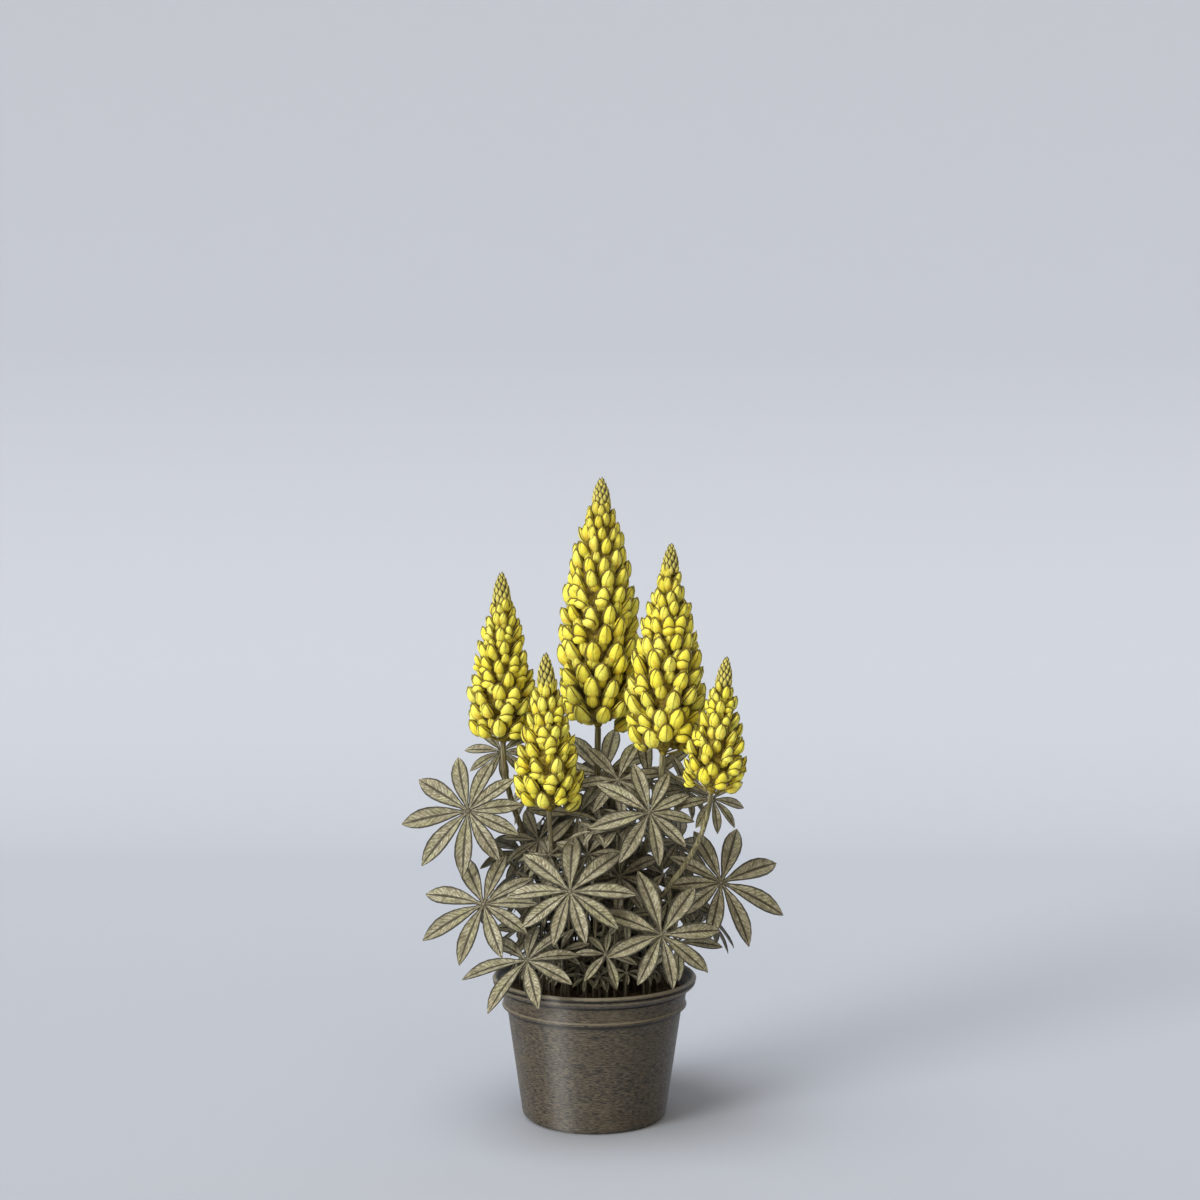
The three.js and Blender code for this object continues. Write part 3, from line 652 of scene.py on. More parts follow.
def painted_shade_edge(rings, thin=0.012, wider=0.085):
    """A thin almond inside a petal, wider by a hair, that shows as a dark line all round it: painted
    shade where the florets meet.
    """
    flat = [(z, thin, half + wider if half else 0.0, out) for z, half, out in rings]
    thing = egg(flat, 8, len(rings) - 2)
    write_growth(thing, lambda place: (1.0, min(1, max(0, place.z)), 0.5, 0.0))
    return thing


def closed_floret(material):
    """A floret whose banner is still wrapped round its wings: root at the origin, tip at 1."""
    body = petal_body([
        (0.00, 0.0, 0.0, 0.0),
        (0.08, 0.10, 0.11, 0.00),
        (0.24, 0.18, 0.20, 0.03),
        (0.46, 0.22, 0.24, 0.06),
        (0.70, 0.18, 0.21, 0.05),
        (0.90, 0.10, 0.128, 0.00),
        (1.00, 0.0, 0.0, -0.03),
    ])
    # painted shade: a dark line round the floret
    edge = painted_shade_edge([
        (0.0, 0.0, 0.0), (0.24, 0.20, 0.03), (0.47, 0.24, 0.05), (0.71, 0.205, 0.04),
        (0.91, 0.112, 0.0), (1.07, 0.0, -0.04),
    ])
    # painted shade: a dark crease line down the middle of the floret, between banner and wings
    keel_crease_shade = painted_shade_edge([
        (0.0, 0.0, 0.0), (0.24, 0.18, -0.03), (0.47, 0.22, -0.06), (0.71, 0.17, -0.05),
        (0.91, 0.09, 0.0), (1.07, 0.0, 0.04),
    ], 0.003, 0.055)
    keel_crease_shade.data.transform(Matrix.Rotation(math.radians(90), 4, "Z"))
    return give(joined("closed floret", [body, edge, keel_crease_shade]), material)


def open_floret(material):
    """A floret in flower: a plump pair of wings in front of a banner that stands up behind them."""
    wings = petal_body([
        (0.00, 0.0, 0.0, 0.0),
        (0.12, 0.15, 0.18, 0.08),
        (0.31, 0.20, 0.25, 0.17),
        (0.48, 0.17, 0.22, 0.20),
        (0.57, 0.0, 0.0, 0.19),
    ])
    # painted shade: a dark line round the wings
    wings_edge = painted_shade_edge([
        (0.0, 0.0, 0.02), (0.28, 0.24, 0.17), (0.50, 0.21, 0.21), (0.63, 0.0, 0.20),
    ])
    for thing in (wings, wings_edge):
        thing.data.transform(Matrix.Rotation(math.radians(7), 4, "X"))
    banner = petal_body([
        (0.14, 0.0, 0.0, -0.02),
        (0.32, 0.12, 0.21, 0.01),
        (0.60, 0.15, 0.24, 0.03),
        (0.85, 0.12, 0.145, 0.00),
        (1.00, 0.0, 0.0, -0.05),
    ])
    # painted shade: a dark line round the banner
    banner_edge = painted_shade_edge([
        (0.12, 0.0, -0.02), (0.62, 0.24, 0.03), (0.87, 0.135, 0.00), (1.07, 0.0, -0.05),
    ])
    return give(joined("open floret", [wings, wings_edge, banner, banner_edge]), material)


def bud_scale(material):
    """One tight bud: root at the origin, tip at 1."""
    body = petal_body([
        (0.00, 0.0, 0.0, 0.0),
        (0.16, 0.15, 0.18, 0.02),
        (0.48, 0.16, 0.22, 0.04),
        (0.82, 0.08, 0.11, 0.02),
        (1.00, 0.0, 0.0, 0.0),
    ], 6)
    # painted shade: a dark line round the bud
    edge = painted_shade_edge([(0.0, 0.0, 0.0), (0.28, 0.20, 0.03), (0.66, 0.17, 0.03), (1.04, 0.0, 0.0)])
    return give(joined("bud", [body, edge]), material)


def pedicel(material):
    """The little stalk of a floret, a unit long and one unit in radius."""
    bpy.ops.mesh.primitive_cylinder_add(vertices=4, radius=1, depth=1, location=(0, 0, 0.5))
    thing = alone(bpy.context.object)
    bpy.ops.object.transform_apply(location=True)
    thing.name = "pedicel"
    write_growth(thing, lambda place: (0.9, 0.0, 0.5, 0.0))
    return give(thing, material)


# Outline of a leaflet: share of its length, and half its width there in lengths.
LEAFLET_ROWS = [
    (0.00, 0.016), (0.13, 0.037), (0.27, 0.084), (0.42, 0.122), (0.57, 0.141), (0.71, 0.136),
    (0.84, 0.099), (0.94, 0.046), (1.00, 0.004),
]


def leaflet(material):
    """One leaflet a unit long, along Y from the hub, folded up along its midrib and arched.

    Rows that have their place stand aside until all have it, so that none is picked twice.
    """
    aside = 10
    cells = len(LEAFLET_ROWS) - 1
    bpy.ops.mesh.primitive_grid_add(x_subdivisions=4, y_subdivisions=cells, size=2)
    thing = bpy.context.object
    thing.name = "leaflet"
    edit_mode()
    for row, (along, half) in reversed(list(enumerate(LEAFLET_ROWS))):
        now = -1 + 2 * row / cells
        pick(lambda place: near(place.y, now))
        bpy.ops.transform.resize(value=(half, 1, 1), center_override=(0, now, 0))
        arch = LEAFLET_RISE * along - LEAFLET_DROOP * along * along
        shift(0, aside + along - now, arch)
    for side in (-1, 1):
        for row, (along, half) in enumerate(LEAFLET_ROWS):
            for column, lift in ((0.5, LEAFLET_FOLD_HALFWAY), (1.0, LEAFLET_FOLD)):
                pick(lambda place: near(place.y, aside + along)
                     and near(place.x, side * column * half))
                shift(0, 0, lift * column * half)
    bpy.ops.mesh.select_all(action="SELECT")
    shift(0, -aside, 0)
    object_mode()
    apply_modifier(thing, "SOLIDIFY", thickness=LEAFLET_THICKNESS, offset=0, use_even_offset=False)
    halves = dict(LEAFLET_ROWS)

    def half_at(along):
        row = min(halves, key=lambda value: abs(value - along))
        return halves[row]

    def upper(place):
        arch = LEAFLET_RISE * place.y - LEAFLET_DROOP * place.y * place.y
        return place.z - arch - 0.19 * abs(place.x) > 0

    edit_mode()
    pick(lambda place: near(place.x, 0, 0.002) and not upper(place) and place.y < 0.9)
    shift(0, 0, -0.012)
    pick(lambda place: near(place.x, 0, 0.002) and upper(place) and 0.1 < place.y < 0.95)
    shift(0, 0, -0.006)
    bpy.ops.mesh.select_all(action="SELECT")
    bpy.ops.mesh.normals_make_consistent(inside=False)
    object_mode()
    smooth(thing, 60)
    write_growth(thing, lambda place: (
        min(1, abs(place.x) / half_at(place.y)), place.y, 0.5, 1.0 if upper(place) else 0.0))
    return give(thing, material)


def hub_knob(material):
    """The small knob where the leaflets of a blade meet, one unit in radius."""
    bpy.ops.mesh.primitive_uv_sphere_add(segments=10, ring_count=6, radius=1)
    thing = bpy.context.object
    edit_mode()
    bpy.ops.transform.resize(value=(1, 1, 0.55), center_override=(0, 0, 0))
    object_mode()
    thing.name = "hub knob"
    smooth(thing)
    write_growth(thing, lambda place: (0.5, 0.0, 0.5, 1.0))
    return give(thing, material)


# ---------------- leaves and stems

def blade_frame(face, lift):
    """Right, up and out of a blade whose upper face looks to a compass bearing, lifted so far."""
    face, lift = math.radians(face), math.radians(lift)
    right = Vector((math.cos(face), math.sin(face), 0))
    up = Vector((-math.sin(face) * math.sin(lift), math.cos(face) * math.sin(lift), math.cos(lift)))
    out = Vector((math.sin(face) * math.cos(lift), -math.cos(face) * math.cos(lift), math.sin(lift)))
    return right, up, out


def frame_matrix(x_axis, y_axis, z_axis, place, scale):
    """Turns a template's X, Y and Z to three directions, at a size and place in millimetres."""
    turn = Matrix((x_axis, y_axis, z_axis)).transposed().to_4x4()
    return Matrix.Translation(metres(place)) @ turn @ Matrix.Scale(scale * MM, 4)


def blade(templates, hub, face, lift, length, count, turn, short, seed):
    """The leaflets round a hub, shorter and closer together on one side, and the knob they meet in."""
    right, up, out = blade_frame(face, lift)
    draw = seeded_draws(seed)
    parts = []
    for i in range(count):
        even = math.radians(turn) + 2 * math.pi * i / count
        direction = even - math.radians(CROWDING) * math.sin(even - math.radians(short))
        size = length * (1 - SHORTENING * math.cos(direction - math.radians(short)))
        along = right * math.sin(direction) + up * math.cos(direction)
        across = right * math.cos(direction) - up * math.sin(direction)
        place = frame_matrix(across, along, out, hub, size)
        roll = math.radians(LEAFLET_ROLL * (next(draw) - 0.5))
        nod = math.radians(LEAFLET_NOD * (next(draw) - 0.5))
        place = place @ Matrix.Rotation(nod, 4, "X") @ Matrix.Rotation(roll, 4, "Y")
        parts.append(copy_of(templates["leaflet"], place, next(draw)))
    parts.append(copy_of(templates["knob"], frame_matrix(right, up, out, hub, KNOB_RADIUS), 0.5))
    return parts


def petiole_end(hub, face, lift):
    """Where a petiole ends under its hub, and the way it heads there."""
    _, _, out = blade_frame(face, lift)
    outward = Vector((out.x, out.y, 0)).normalized()
    heading = (out * 0.55 + outward * 0.6 + Vector((0, 0, 0.35))).normalized()
    return Vector(hub) - out * 0.2, heading


def rising_points(root, end, heading, bend):
    """Bezier points of a stalk: straight up out of the soil, then bent over to its end."""
    foot = Vector((root[0], root[1], ROOT_DEPTH))
    shoulder = Vector((root[0], root[1], STRAIGHT_TOP))
    reach = (end - shoulder).length
    handle = Vector((0, 0, bend * reach))
    third = (shoulder - foot) / 3
    return [
        (foot, foot - third, foot + third),
        (shoulder, shoulder - third, shoulder + handle),
        (end, end - heading * (bend * reach), end + heading),
    ]


def bezier_at(points, height):
    """Place on the bent part of a stalk at a height."""
    (start, _, first), (end, second, _) = points[1:]
    best = start
    for i in range(401):
        t = i / 400
        place = (start * (1 - t) ** 3 + first * 3 * t * (1 - t) ** 2
                 + second * 3 * t * t * (1 - t) + end * t ** 3)
        if abs(place.z - height) < abs(best.z - height):
            best = place
    return best


def basal_leaf(templates, finishes, leaf, seed):
    name, root, hub, face, lift, length, count, turn, short = leaf
    end, heading = petiole_end(hub, face, lift)
    points = rising_points(root, end, heading, PETIOLE_BEND)
    radii = [share * PETIOLE_RADIUS for share in PETIOLE_TAPER]
    parts = blade(templates, hub, face, lift, length, count, turn, short, seed)
    parts.append(tube(points, radii, finishes["stalk"], 8, 14))
    return finished(joined(f"{name}_leaf", parts), "leaf", f"leaf_{name}")


def young_leaf(templates, finishes, turn, out, spread, rise, length, draw, seed):
    """A small leaf at a turn about the plant: its root and its hub lie at two distances out."""
    root = (out * math.cos(turn), out * math.sin(turn))
    hub = (spread * math.cos(turn), spread * math.sin(turn), rise)
    face = math.degrees(turn) + 90 + 40 * (next(draw) - 0.5)
    lift = 30 + 40 * next(draw)
    end, heading = petiole_end(hub, face, lift)
    points = rising_points(root, end, heading, PETIOLE_BEND)
    stalk = tube(points, YOUNG_PETIOLE_RADII, finishes["stalk"], 6, 8)
    count = 6 + seed % 2
    first = 50 * next(draw)
    return [stalk] + blade(templates, hub, face, lift, length, count, first, SHORT_SIDE, seed)


def young_leaves(templates, finishes):
    """Small leaves on thin petioles that crowd the heart of the plant, and seedlings on the soil."""
    draw = seeded_draws(733)
    parts = []
    for count, seed, arc, outs, spreads, rises, lengths, crowding in YOUNG_LEAVES:
        for number in range(count):
            out = outs[0] + outs[1] * next(draw)
            spread = out + spreads[0]
            if spreads[1]:
                spread += spreads[1] * next(draw)
            rise = rises[0] + rises[1] * next(draw) ** crowding
            length = lengths[0] + lengths[1] * next(draw)
            turn = math.radians(arc * ((GOLDEN_ANGLE * number / 360) % 1))
            parts += young_leaf(templates, finishes, turn, out, spread, rise, length, draw,
                                seed + number)
    return finished(joined("young_leaves", parts), "leaf")


def leafy_stem(templates, finishes, name, spike):
    """A stem up to the foot of its head, with the leaves that it carries."""
    foot, tip = Vector(spike["foot"]), Vector(spike["tip"])
    lean = (tip - foot).normalized()
    points = rising_points(spike["root"], foot - lean * 0.3, lean, STEM_BEND)
    radii = [share * spike["stem"] * STEM_RADIUS for share in STEM_TAPER]
    parts = [tube(points, radii, finishes["stalk"], 12, 20)]
    for number, leaf in enumerate(row for row in STEM_LEAVES if row[0] == name):
        _, height, hub, face, lift, length, count, turn = leaf
        spring = bezier_at(points, height)
        end, heading = petiole_end(hub, face, lift)
        reach = (end - spring).length
        way = [
            (spring, spring - Vector((0, 0, 2)), spring + Vector((0, 0, 0.3 * reach))),
            (end, end - heading * (PETIOLE_BEND * reach), end + heading),
        ]
        radii = [share * PETIOLE_RADIUS for share in SIDE_PETIOLE_TAPER]
        parts.append(tube(way, radii, finishes["stalk"], 8, 12))
        seed = spike["seed"] * 31 + number
        parts += blade(templates, hub, face, lift, length, count, turn, SHORT_SIDE, seed)
    return finished(joined(f"{name}_leafy_stem", parts), "stem", f"stem_{name}")


# ---------------- flower heads

def fullness(spike, t):
    """Outline of a head at a share of its height, as a share of its widest radius."""
    widest = spike["widest"]
    upper = min(1, max(0, (t - widest) / (1 - widest)))
    lower = max(0, (widest - t) / widest)
    return 1 - upper ** spike["power"] - (1 - FOOT_FULLNESS) * lower ** 2


def floret_scale(t):
    return 1 - FLORET_TAPER * t ** 3


def floret_tilt(t):
    foot, tip = FLORET_TILT
    return math.radians(foot + (tip - foot) * t)


def springs(spike, height):
    """Where the florets spring, in one spiral: shares of the head's height and turns about it."""
    a_turn = spike["around"] + 0.5
    places = []
    t = 0.02
    while True:
        length = FLORET_LENGTH * spike["radius"] * floret_scale(t)
        if t * height + 0.3 * length > spike["buds_from"] * height:
            return places
        places.append((t, 2 * math.pi * len(places) / a_turn))
        rise = TURN_RISE * length / height / a_turn
        t += 0.5 * rise if len(places) < a_turn else rise


def head_frame(spike):
    """Foot of a head, the turn that stands it on its stem and its height, in millimetres."""
    foot, tip = Vector(spike["foot"]), Vector(spike["tip"])
    turn = Vector((0, 0, 1)).rotation_difference((tip - foot).normalized()).to_matrix()
    return foot, turn, (tip - foot).length


def petal_matrix(spike, radius, turn, height, tilt, roll, length, width, depth):
    """Stands a floret with its root at a radius, turn and height in the head, leaning out."""
    foot, stand, _ = head_frame(spike)
    radial = bearing(turn)
    side = Vector((-math.sin(turn), math.cos(turn), 0))
    up = Vector((0, 0, 1))
    axis = radial * math.sin(tilt) + up * math.cos(tilt)
    face = radial * math.cos(tilt) - up * math.sin(tilt)
    root = foot + stand @ (radial * radius + up * height)
    turned = Matrix((stand @ face, stand @ side, stand @ axis)).transposed().to_4x4()
    size = Matrix.Diagonal((depth * MM, width * MM, length * MM, 1))
    return Matrix.Translation(metres(root)) @ turned @ Matrix.Rotation(roll, 4, "Z") @ size


def rod_matrix(first, second, radius):
    """Stretches a unit rod from one place to another, in millimetres."""
    axis = second - first
    turn = Vector((0, 0, 1)).rotation_difference(axis.normalized()).to_matrix().to_4x4()
    size = Matrix.Diagonal((radius * MM, radius * MM, axis.length * MM, 1))
    return Matrix.Translation(metres(first)) @ turn @ size


def flower_head(templates, finishes, name, spike):
    """A spiral of florets on stalks round the rachis, with smaller ones sunk between them."""
    radius, step = spike["radius"], 2 * math.pi / spike["around"]
    foot, stand, height = head_frame(spike)
    draw = seeded_draws(spike["seed"])

    def jitter(spread):
        return spread * (next(draw) - 0.5)

    def add(t, turn, share, inward, sunken):
        length = share * FLORET_LENGTH * radius * floret_scale(t) * (1 + jitter(LENGTH_PLAY))
        tilt = floret_tilt(t) + math.radians(jitter(TILT_PLAY) + (8 if t < 0.03 else 0))
        play = FOOT_HEIGHT_PLAY if t < 0.05 else HEIGHT_PLAY
        root_height = t * height + jitter(play * radius)
        tip_height = root_height + length * math.cos(tilt)
        outline = radius * fullness(spike, 0.4 * t + 0.6 * tip_height / height) - inward - jitter(2)
        belly = BELLY[0] * math.sin(tilt) + BELLY[1] * math.cos(tilt)
        root_radius = max(0.8, outline - length * max(math.sin(tilt), belly))
        is_open = share == 1 and t < OPEN_BELOW and next(draw) < OPEN_SHARE
        template = templates["open floret"] if is_open else templates["closed floret"]
        wide = length * (1.27 - 0.3 * t + jitter(WIDTH_PLAY))
        roll = math.radians(jitter(ROLL_PLAY))
        place = petal_matrix(spike, root_radius, turn, root_height, tilt, roll, length, wide, wide)
        parts.append(copy_of(template, place, next(draw), sunken))
        radial = bearing(turn)
        base = foot + stand @ (radial * 1.5 + Vector((0, 0, root_height - 0.25 * root_radius)))
        top = foot + stand @ (radial * (root_radius + 1) + Vector((0, 0, root_height + 1)))
        if root_height > 0.25 * root_radius:
            rod = rod_matrix(base, top, PEDICEL_RADIUS)
            parts.append(copy_of(templates["pedicel"], rod, 0.5))

    parts = []
    between = 0.5 * TURN_RISE * FLORET_LENGTH * radius / height
    for t, turn in springs(spike, height):
        green = min(1, max(0, (t - GREEN_FROM) / 0.3))
        add(t, turn + jitter(TURN_PLAY * step), 1, 0, green)
        if t < GREEN_FROM:
            add(t + between, turn + 0.5 * step, SUNKEN_SIZE, SUNKEN_BY * radius, 0.25)
    parts.append(head_heart(finishes, spike))
    return finished(joined(f"{name}_florets", parts), "petal", f"florets_{name}")


def axis_knot(spike, height, reach):
    """A Bezier point on the axis of a head, with handles that reach so far up and down it."""
    foot, stand, _ = head_frame(spike)
    place = foot + stand @ Vector((0, 0, height))
    step = stand @ Vector((0, 0, reach))
    return place, place - step, place + step


def head_heart(finishes, spike):
    """The rachis and the crowd of calyxes round it, as one knotty tapering body whose dark colour also
    paints the shade between the florets.
    """
    _, _, height = head_frame(spike)
    shares = [0.0, 0.06, 0.14, 0.24, 0.36, 0.48, 0.6, 0.72, 0.8, spike["buds_from"] - 0.005]
    points = []
    radii = []
    for t in shares:
        points.append(axis_knot(spike, t * height, 0.02 * height))
        length = FLORET_LENGTH * spike["radius"] * floret_scale(t)
        roots = spike["radius"] * fullness(spike, t + 0.4 * length / height)
        roots -= 0.9 * length * math.sin(floret_tilt(t))
        radii.append(max(2.4, min(roots, 2.6 + 0.5 * t * height)))
    return tube(points, radii, finishes["heart"], 12, 6)


def cone_radius(spike, share):
    """Outline of the cone of tight buds: nearly straight, then rounded to its tip."""
    return spike["bud_radius"] * (0.84 - 0.64 * share ** 2.2)


def bud_cone(templates, finishes, name, spike):
    """Tight buds in a spiral over the tip of the head, smaller and closer towards the top."""
    _, _, height = head_frame(spike)
    low = spike["buds_from"] * height
    rise = height - low
    draw = seeded_draws(spike["seed"] + 900)
    parts = []
    for i in range(BUD_COUNT):
        share = (i / BUD_COUNT) ** 0.95
        cone = cone_radius(spike, share)
        length = 1.05 * spike["bud_radius"] * (1 - 0.4 * share)
        tilt = math.radians(16 - 12 * share)
        turn = i * math.radians(GOLDEN_ANGLE)
        root_radius = max(0.2, cone - 0.18 * length - length * 0.5 * math.sin(tilt))
        root_height = low + share * (rise - 0.62 * length) - 0.15 * length
        place = petal_matrix(spike, root_radius, turn, root_height, tilt, 0, length, length, length)
        parts.append(copy_of(templates["bud"], place, next(draw)))
    core = []
    radii = []
    for share in (0.02, 0.35, 0.7, 0.93):
        core.append(axis_knot(spike, low + share * rise, 0.1 * rise))
        radii.append(0.75 * cone_radius(spike, share))
    parts.append(tube(core, radii, finishes["heart"], 8, 4))
    return finished(joined(f"{name}_bud_cone", parts), "bud", f"buds_{name}")


# ---------------- pot and soil

def spun(profile, material):
    """A closed profile of (radius, height) in millimetres, turned about the Z axis."""
    bpy.ops.mesh.primitive_plane_add(size=1)
    thing = alone(bpy.context.object)
    edit_mode()
    bpy.ops.mesh.delete(type="VERT")
    mesh = bmesh.from_edit_mesh(thing.data)
    rail = [mesh.verts.new((r * MM, 0, z * MM)) for r, z in profile]
    for first, second in zip(rail, rail[1:]):
        mesh.edges.new((first, second))
    bmesh.update_edit_mesh(thing.data)
    bpy.ops.mesh.select_all(action="SELECT")
    bpy.ops.mesh.spin(steps=POT_STEPS, angle=2 * math.pi, center=(0, 0, 0), axis=(0, 0, 1))
    bpy.ops.mesh.select_all(action="SELECT")
    bpy.ops.mesh.remove_doubles(threshold=WELD)
    bpy.ops.mesh.normals_make_consistent(inside=False)
    object_mode()
    return give(thing, material)


def rounded(points, radius=1.0, steps=2):
    """A profile with its inner corners rounded by short arcs."""
    out = [points[0]]
    for before, corner, after in zip(points, points[1:], points[2:]):
        a, b, c = Vector(before), Vector(corner), Vector(after)
        reach = min(radius, 0.4 * (a - b).length, 0.4 * (c - b).length)
        start = b + (a - b).normalized() * reach
        end = b + (c - b).normalized() * reach
        for i in range(steps + 1):
            t = i / steps
            place = start * (1 - t) ** 2 + b * 2 * t * (1 - t) + end * t * t
            out.append((place.x, place.y))
    out.append(points[-1])
    return out


def nursery_pot(material):
    """One moulded shell, up the outside and down the inside, with its drain holes cut out."""
    profile = [
        (0, 0.0),
        (BASE_RADIUS - 4, 0.0),
        (BASE_RADIUS, 4.0),
        (BODY_TOP_RADIUS, COLLAR_LOW + 0.2),
        (COLLAR_RADIUS - 2.4, COLLAR_LOW + 0.4),
        (COLLAR_RADIUS - 1.2, COLLAR_LOW + 1.6),
        (COLLAR_RADIUS - 1.4, COLLAR_LOW + 2.8),
        (COLLAR_RADIUS - 3.0, COLLAR_LOW + 4.4),
        (COLLAR_RADIUS - 1.2, LIP_LOW - 1.2),
        (COLLAR_RADIUS - 2.2, LIP_LOW + 0.2),
        (LIP_RADIUS - 5.0, LIP_LOW + 2.4),
        (LIP_RADIUS - 1.6, LIP_LOW + 5.2),
        (LIP_RADIUS - 0.8, LIP_LOW + 7.6),
        (LIP_RADIUS - 3.0, LIP_LOW + 8.8),
        (LIP_RADIUS - 0.2, LIP_LOW + 10.0),
        (LIP_RADIUS - 0.4, POT_HEIGHT - 2.2),
        (LIP_RADIUS - 2.4, POT_HEIGHT),
        (LIP_RADIUS - 4.4, POT_HEIGHT - 0.6),
        (LIP_RADIUS - 5.6, POT_HEIGHT - 4.0),
        (COLLAR_RADIUS - 3.2, LIP_LOW + 3),
        (BODY_TOP_RADIUS - WALL, SHELF_HEIGHT),
        (BASE_RADIUS - WALL, FLOOR),
        (0, FLOOR),
    ]
    pot = spun(rounded(profile), material)
    for i in range(DRAIN_COUNT):
        angle = 2 * math.pi * (i + 0.5) / DRAIN_COUNT
        place = metres((DRAIN_CIRCLE * math.cos(angle), DRAIN_CIRCLE * math.sin(angle), 0))
        bpy.ops.mesh.primitive_cylinder_add(vertices=20, radius=DRAIN_RADIUS * MM,
                                            depth=DRAIN_DRILL * MM, location=place)
        drill = bpy.context.object
        apply_modifier(pot, "BOOLEAN", operation="DIFFERENCE", object=drill, solver="EXACT")
        bpy.data.objects.remove(drill)
    smooth(pot, 40)
    pot.name = "nursery_pot"
    return finished(pot, "pot_plastic", "pot")


def soil_height(x, y, edge):
    """The crumbly surface, which rises from the wall of the pot to the crown of the plant."""
    inward = 1 - math.hypot(x, y) / edge
    lumps = math.sin(x / 7 + 1) * math.cos(y / 6 - 0.5) + 0.6 * math.sin((x + y) / 4)
    relief = SOIL_RELIEF * lumps * min(1, 3 * inward)
    return SOIL_EDGE + (SOIL_CROWN - SOIL_EDGE) * inward + relief


def soil_body(material):
    """The soil down to the floor of the pot, with a crumbled surface."""
    shelf = BODY_TOP_RADIUS - WALL - SOIL_GAP
    edge = shelf + 2.5
    profile = [
        (0, FLOOR + SOIL_GAP),
        (BASE_RADIUS - WALL - SOIL_GAP, FLOOR + SOIL_GAP),
        (shelf, SHELF_HEIGHT),
        (edge, SOIL_EDGE),
    ]
    profile += [(edge * (1 - i / SOIL_RINGS), SOIL_CROWN) for i in range(1, SOIL_RINGS + 1)]
    soil = spun(profile, material)
    for vertex in soil.data.vertices:
        x, y, z = vertex.co / MM
        if z < SOIL_CROWN - 0.01:
            continue
        crumble = noise.fractal(Vector((x, y, 0)) * 0.16, 0.8, 2.2, 4)
        vertex.co.z = (soil_height(x, y, edge) + SOIL_CRUMBS * crumble) * MM
    soil.name = "potting_soil"
    smooth(soil, 60)
    return finished(soil, "soil", "soil")


# ---------------- stage

PAPER = (190, 196, 208)
PAPER_SIZE = (14, 8, 1)  # of the flat part, in metres, which is then moved forward
PAPER_SHIFT = (0, -2.5, 0)
CURVE_MIDDLE = (0, 1.5, 1.2)  # about which the paper curves up behind the plant
PAPER_RISE = 5
BACKDROP = (200, 205, 213)  # of the air where it is seen past the edges of the paper
AIR = (1.0, 0.79, 0.52, 1)  # of the air as it lights the plant
AIR_STRENGTH = 0.24
CAMERA_PLACE = (0.0055, -1.568, 0.5018)
LENS = 48
SENSOR = 36

# Suns: name, heading, energy, width in degrees and colour.
SUNS = [
    ("high key", (0.24, 0.12, -1.0), 1.5, 44, (0.94, 0.98, 1.0)),
    ("side window", (0.74, 0.64, -0.24), 2.4, 24, (1.0, 0.985, 0.95)),
    ("soft fill", (0.10, 0.80, -0.5), 0.6, 90, (1.0, 0.95, 0.86)),
]


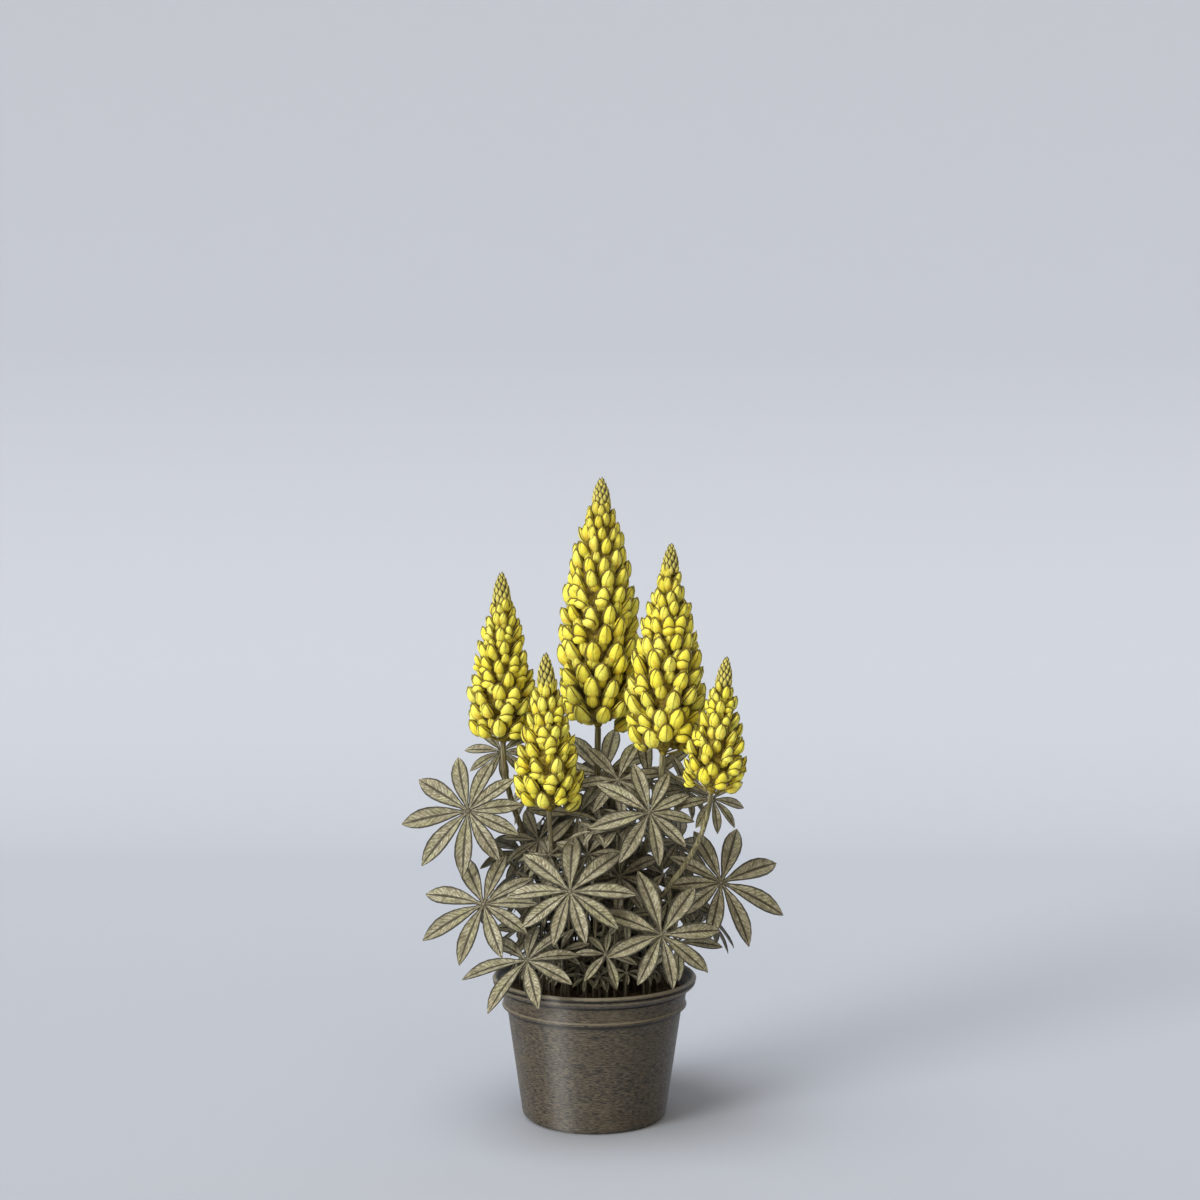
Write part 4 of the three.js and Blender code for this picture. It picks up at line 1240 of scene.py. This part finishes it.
def studio():
    """Camera, pale paper that curves up behind the plant, air and three soft suns."""
    camera = bpy.data.objects.new("camera", bpy.data.cameras.new("camera"))
    camera.data.lens = LENS
    camera.data.sensor_width = SENSOR
    camera.location = CAMERA_PLACE
    camera.rotation_euler = (math.radians(90), 0, 0)
    bpy.context.collection.objects.link(camera)
    bpy.context.scene.camera = camera
    bpy.context.scene.view_settings.view_transform = "Standard"

    bpy.ops.mesh.primitive_plane_add(size=1)
    floor = alone(bpy.context.object)
    floor.name = "floor"
    edit_mode()
    bpy.ops.transform.resize(value=PAPER_SIZE, center_override=(0, 0, 0))
    shift(*PAPER_SHIFT)
    pick(lambda place: place.y > 0)
    bpy.ops.mesh.spin(steps=24, angle=-math.pi / 2, center=CURVE_MIDDLE, axis=(1, 0, 0))
    bpy.ops.mesh.extrude_region_move(TRANSFORM_OT_translate={"value": (0, 0, PAPER_RISE)})
    object_mode()
    smooth(floor)
    paper = Finish("pale paper", Base_Color=rgb(*PAPER), Roughness=0.9, Specular_IOR_Level=0.1)
    give(floor, paper.material)

    world = bpy.data.worlds.new("studio air")
    bpy.context.scene.world = world
    world.use_nodes = True
    tree = world.node_tree
    air = tree.nodes["Background"]
    air.inputs["Color"].default_value = AIR
    air.inputs["Strength"].default_value = AIR_STRENGTH
    backdrop = tree.nodes.new("ShaderNodeBackground")
    backdrop.inputs["Color"].default_value = rgb(*BACKDROP)
    seen = tree.nodes.new("ShaderNodeLightPath")
    both = tree.nodes.new("ShaderNodeMixShader")
    tree.links.new(seen.outputs["Is Camera Ray"], both.inputs[0])
    tree.links.new(air.outputs[0], both.inputs[1])
    tree.links.new(backdrop.outputs[0], both.inputs[2])
    tree.links.new(both.outputs[0], tree.nodes["World Output"].inputs["Surface"])

    for name, heading, energy, angle, colour in SUNS:
        sun = bpy.data.objects.new(name, bpy.data.lights.new(name, "SUN"))
        sun.data.energy = energy
        sun.data.angle = math.radians(angle)
        sun.data.color = colour
        sun.rotation_euler = Vector(heading).to_track_quat("-Z", "Y").to_euler()
        bpy.context.collection.objects.link(sun)


# ---------------- assembly

deselect_all()
studio()

finishes = {
    "petal": petal_finish(),
    "bud": bud_finish(),
    "heart": heart_finish(),
    "leaf": leaf_finish(),
    "stalk": stalk_finish(),
}
templates = {
    "closed floret": closed_floret(finishes["petal"]),
    "open floret": open_floret(finishes["petal"]),
    "bud": bud_scale(finishes["bud"]),
    "leaflet": leaflet(finishes["leaf"]),
    "knob": hub_knob(finishes["leaf"]),
    "pedicel": pedicel(finishes["heart"]),
}

nursery_pot(pot_finish())
soil_body(soil_finish())
for number, leaf in enumerate(BASAL_LEAVES):
    basal_leaf(templates, finishes, leaf, 101 + 7 * number)
young_leaves(templates, finishes)
for name, spike in SPIKES.items():
    leafy_stem(templates, finishes, name, spike)
    flower_head(templates, finishes, name, spike)
    bud_cone(templates, finishes, name, spike)

for template in templates.values():
    bpy.data.objects.remove(template)
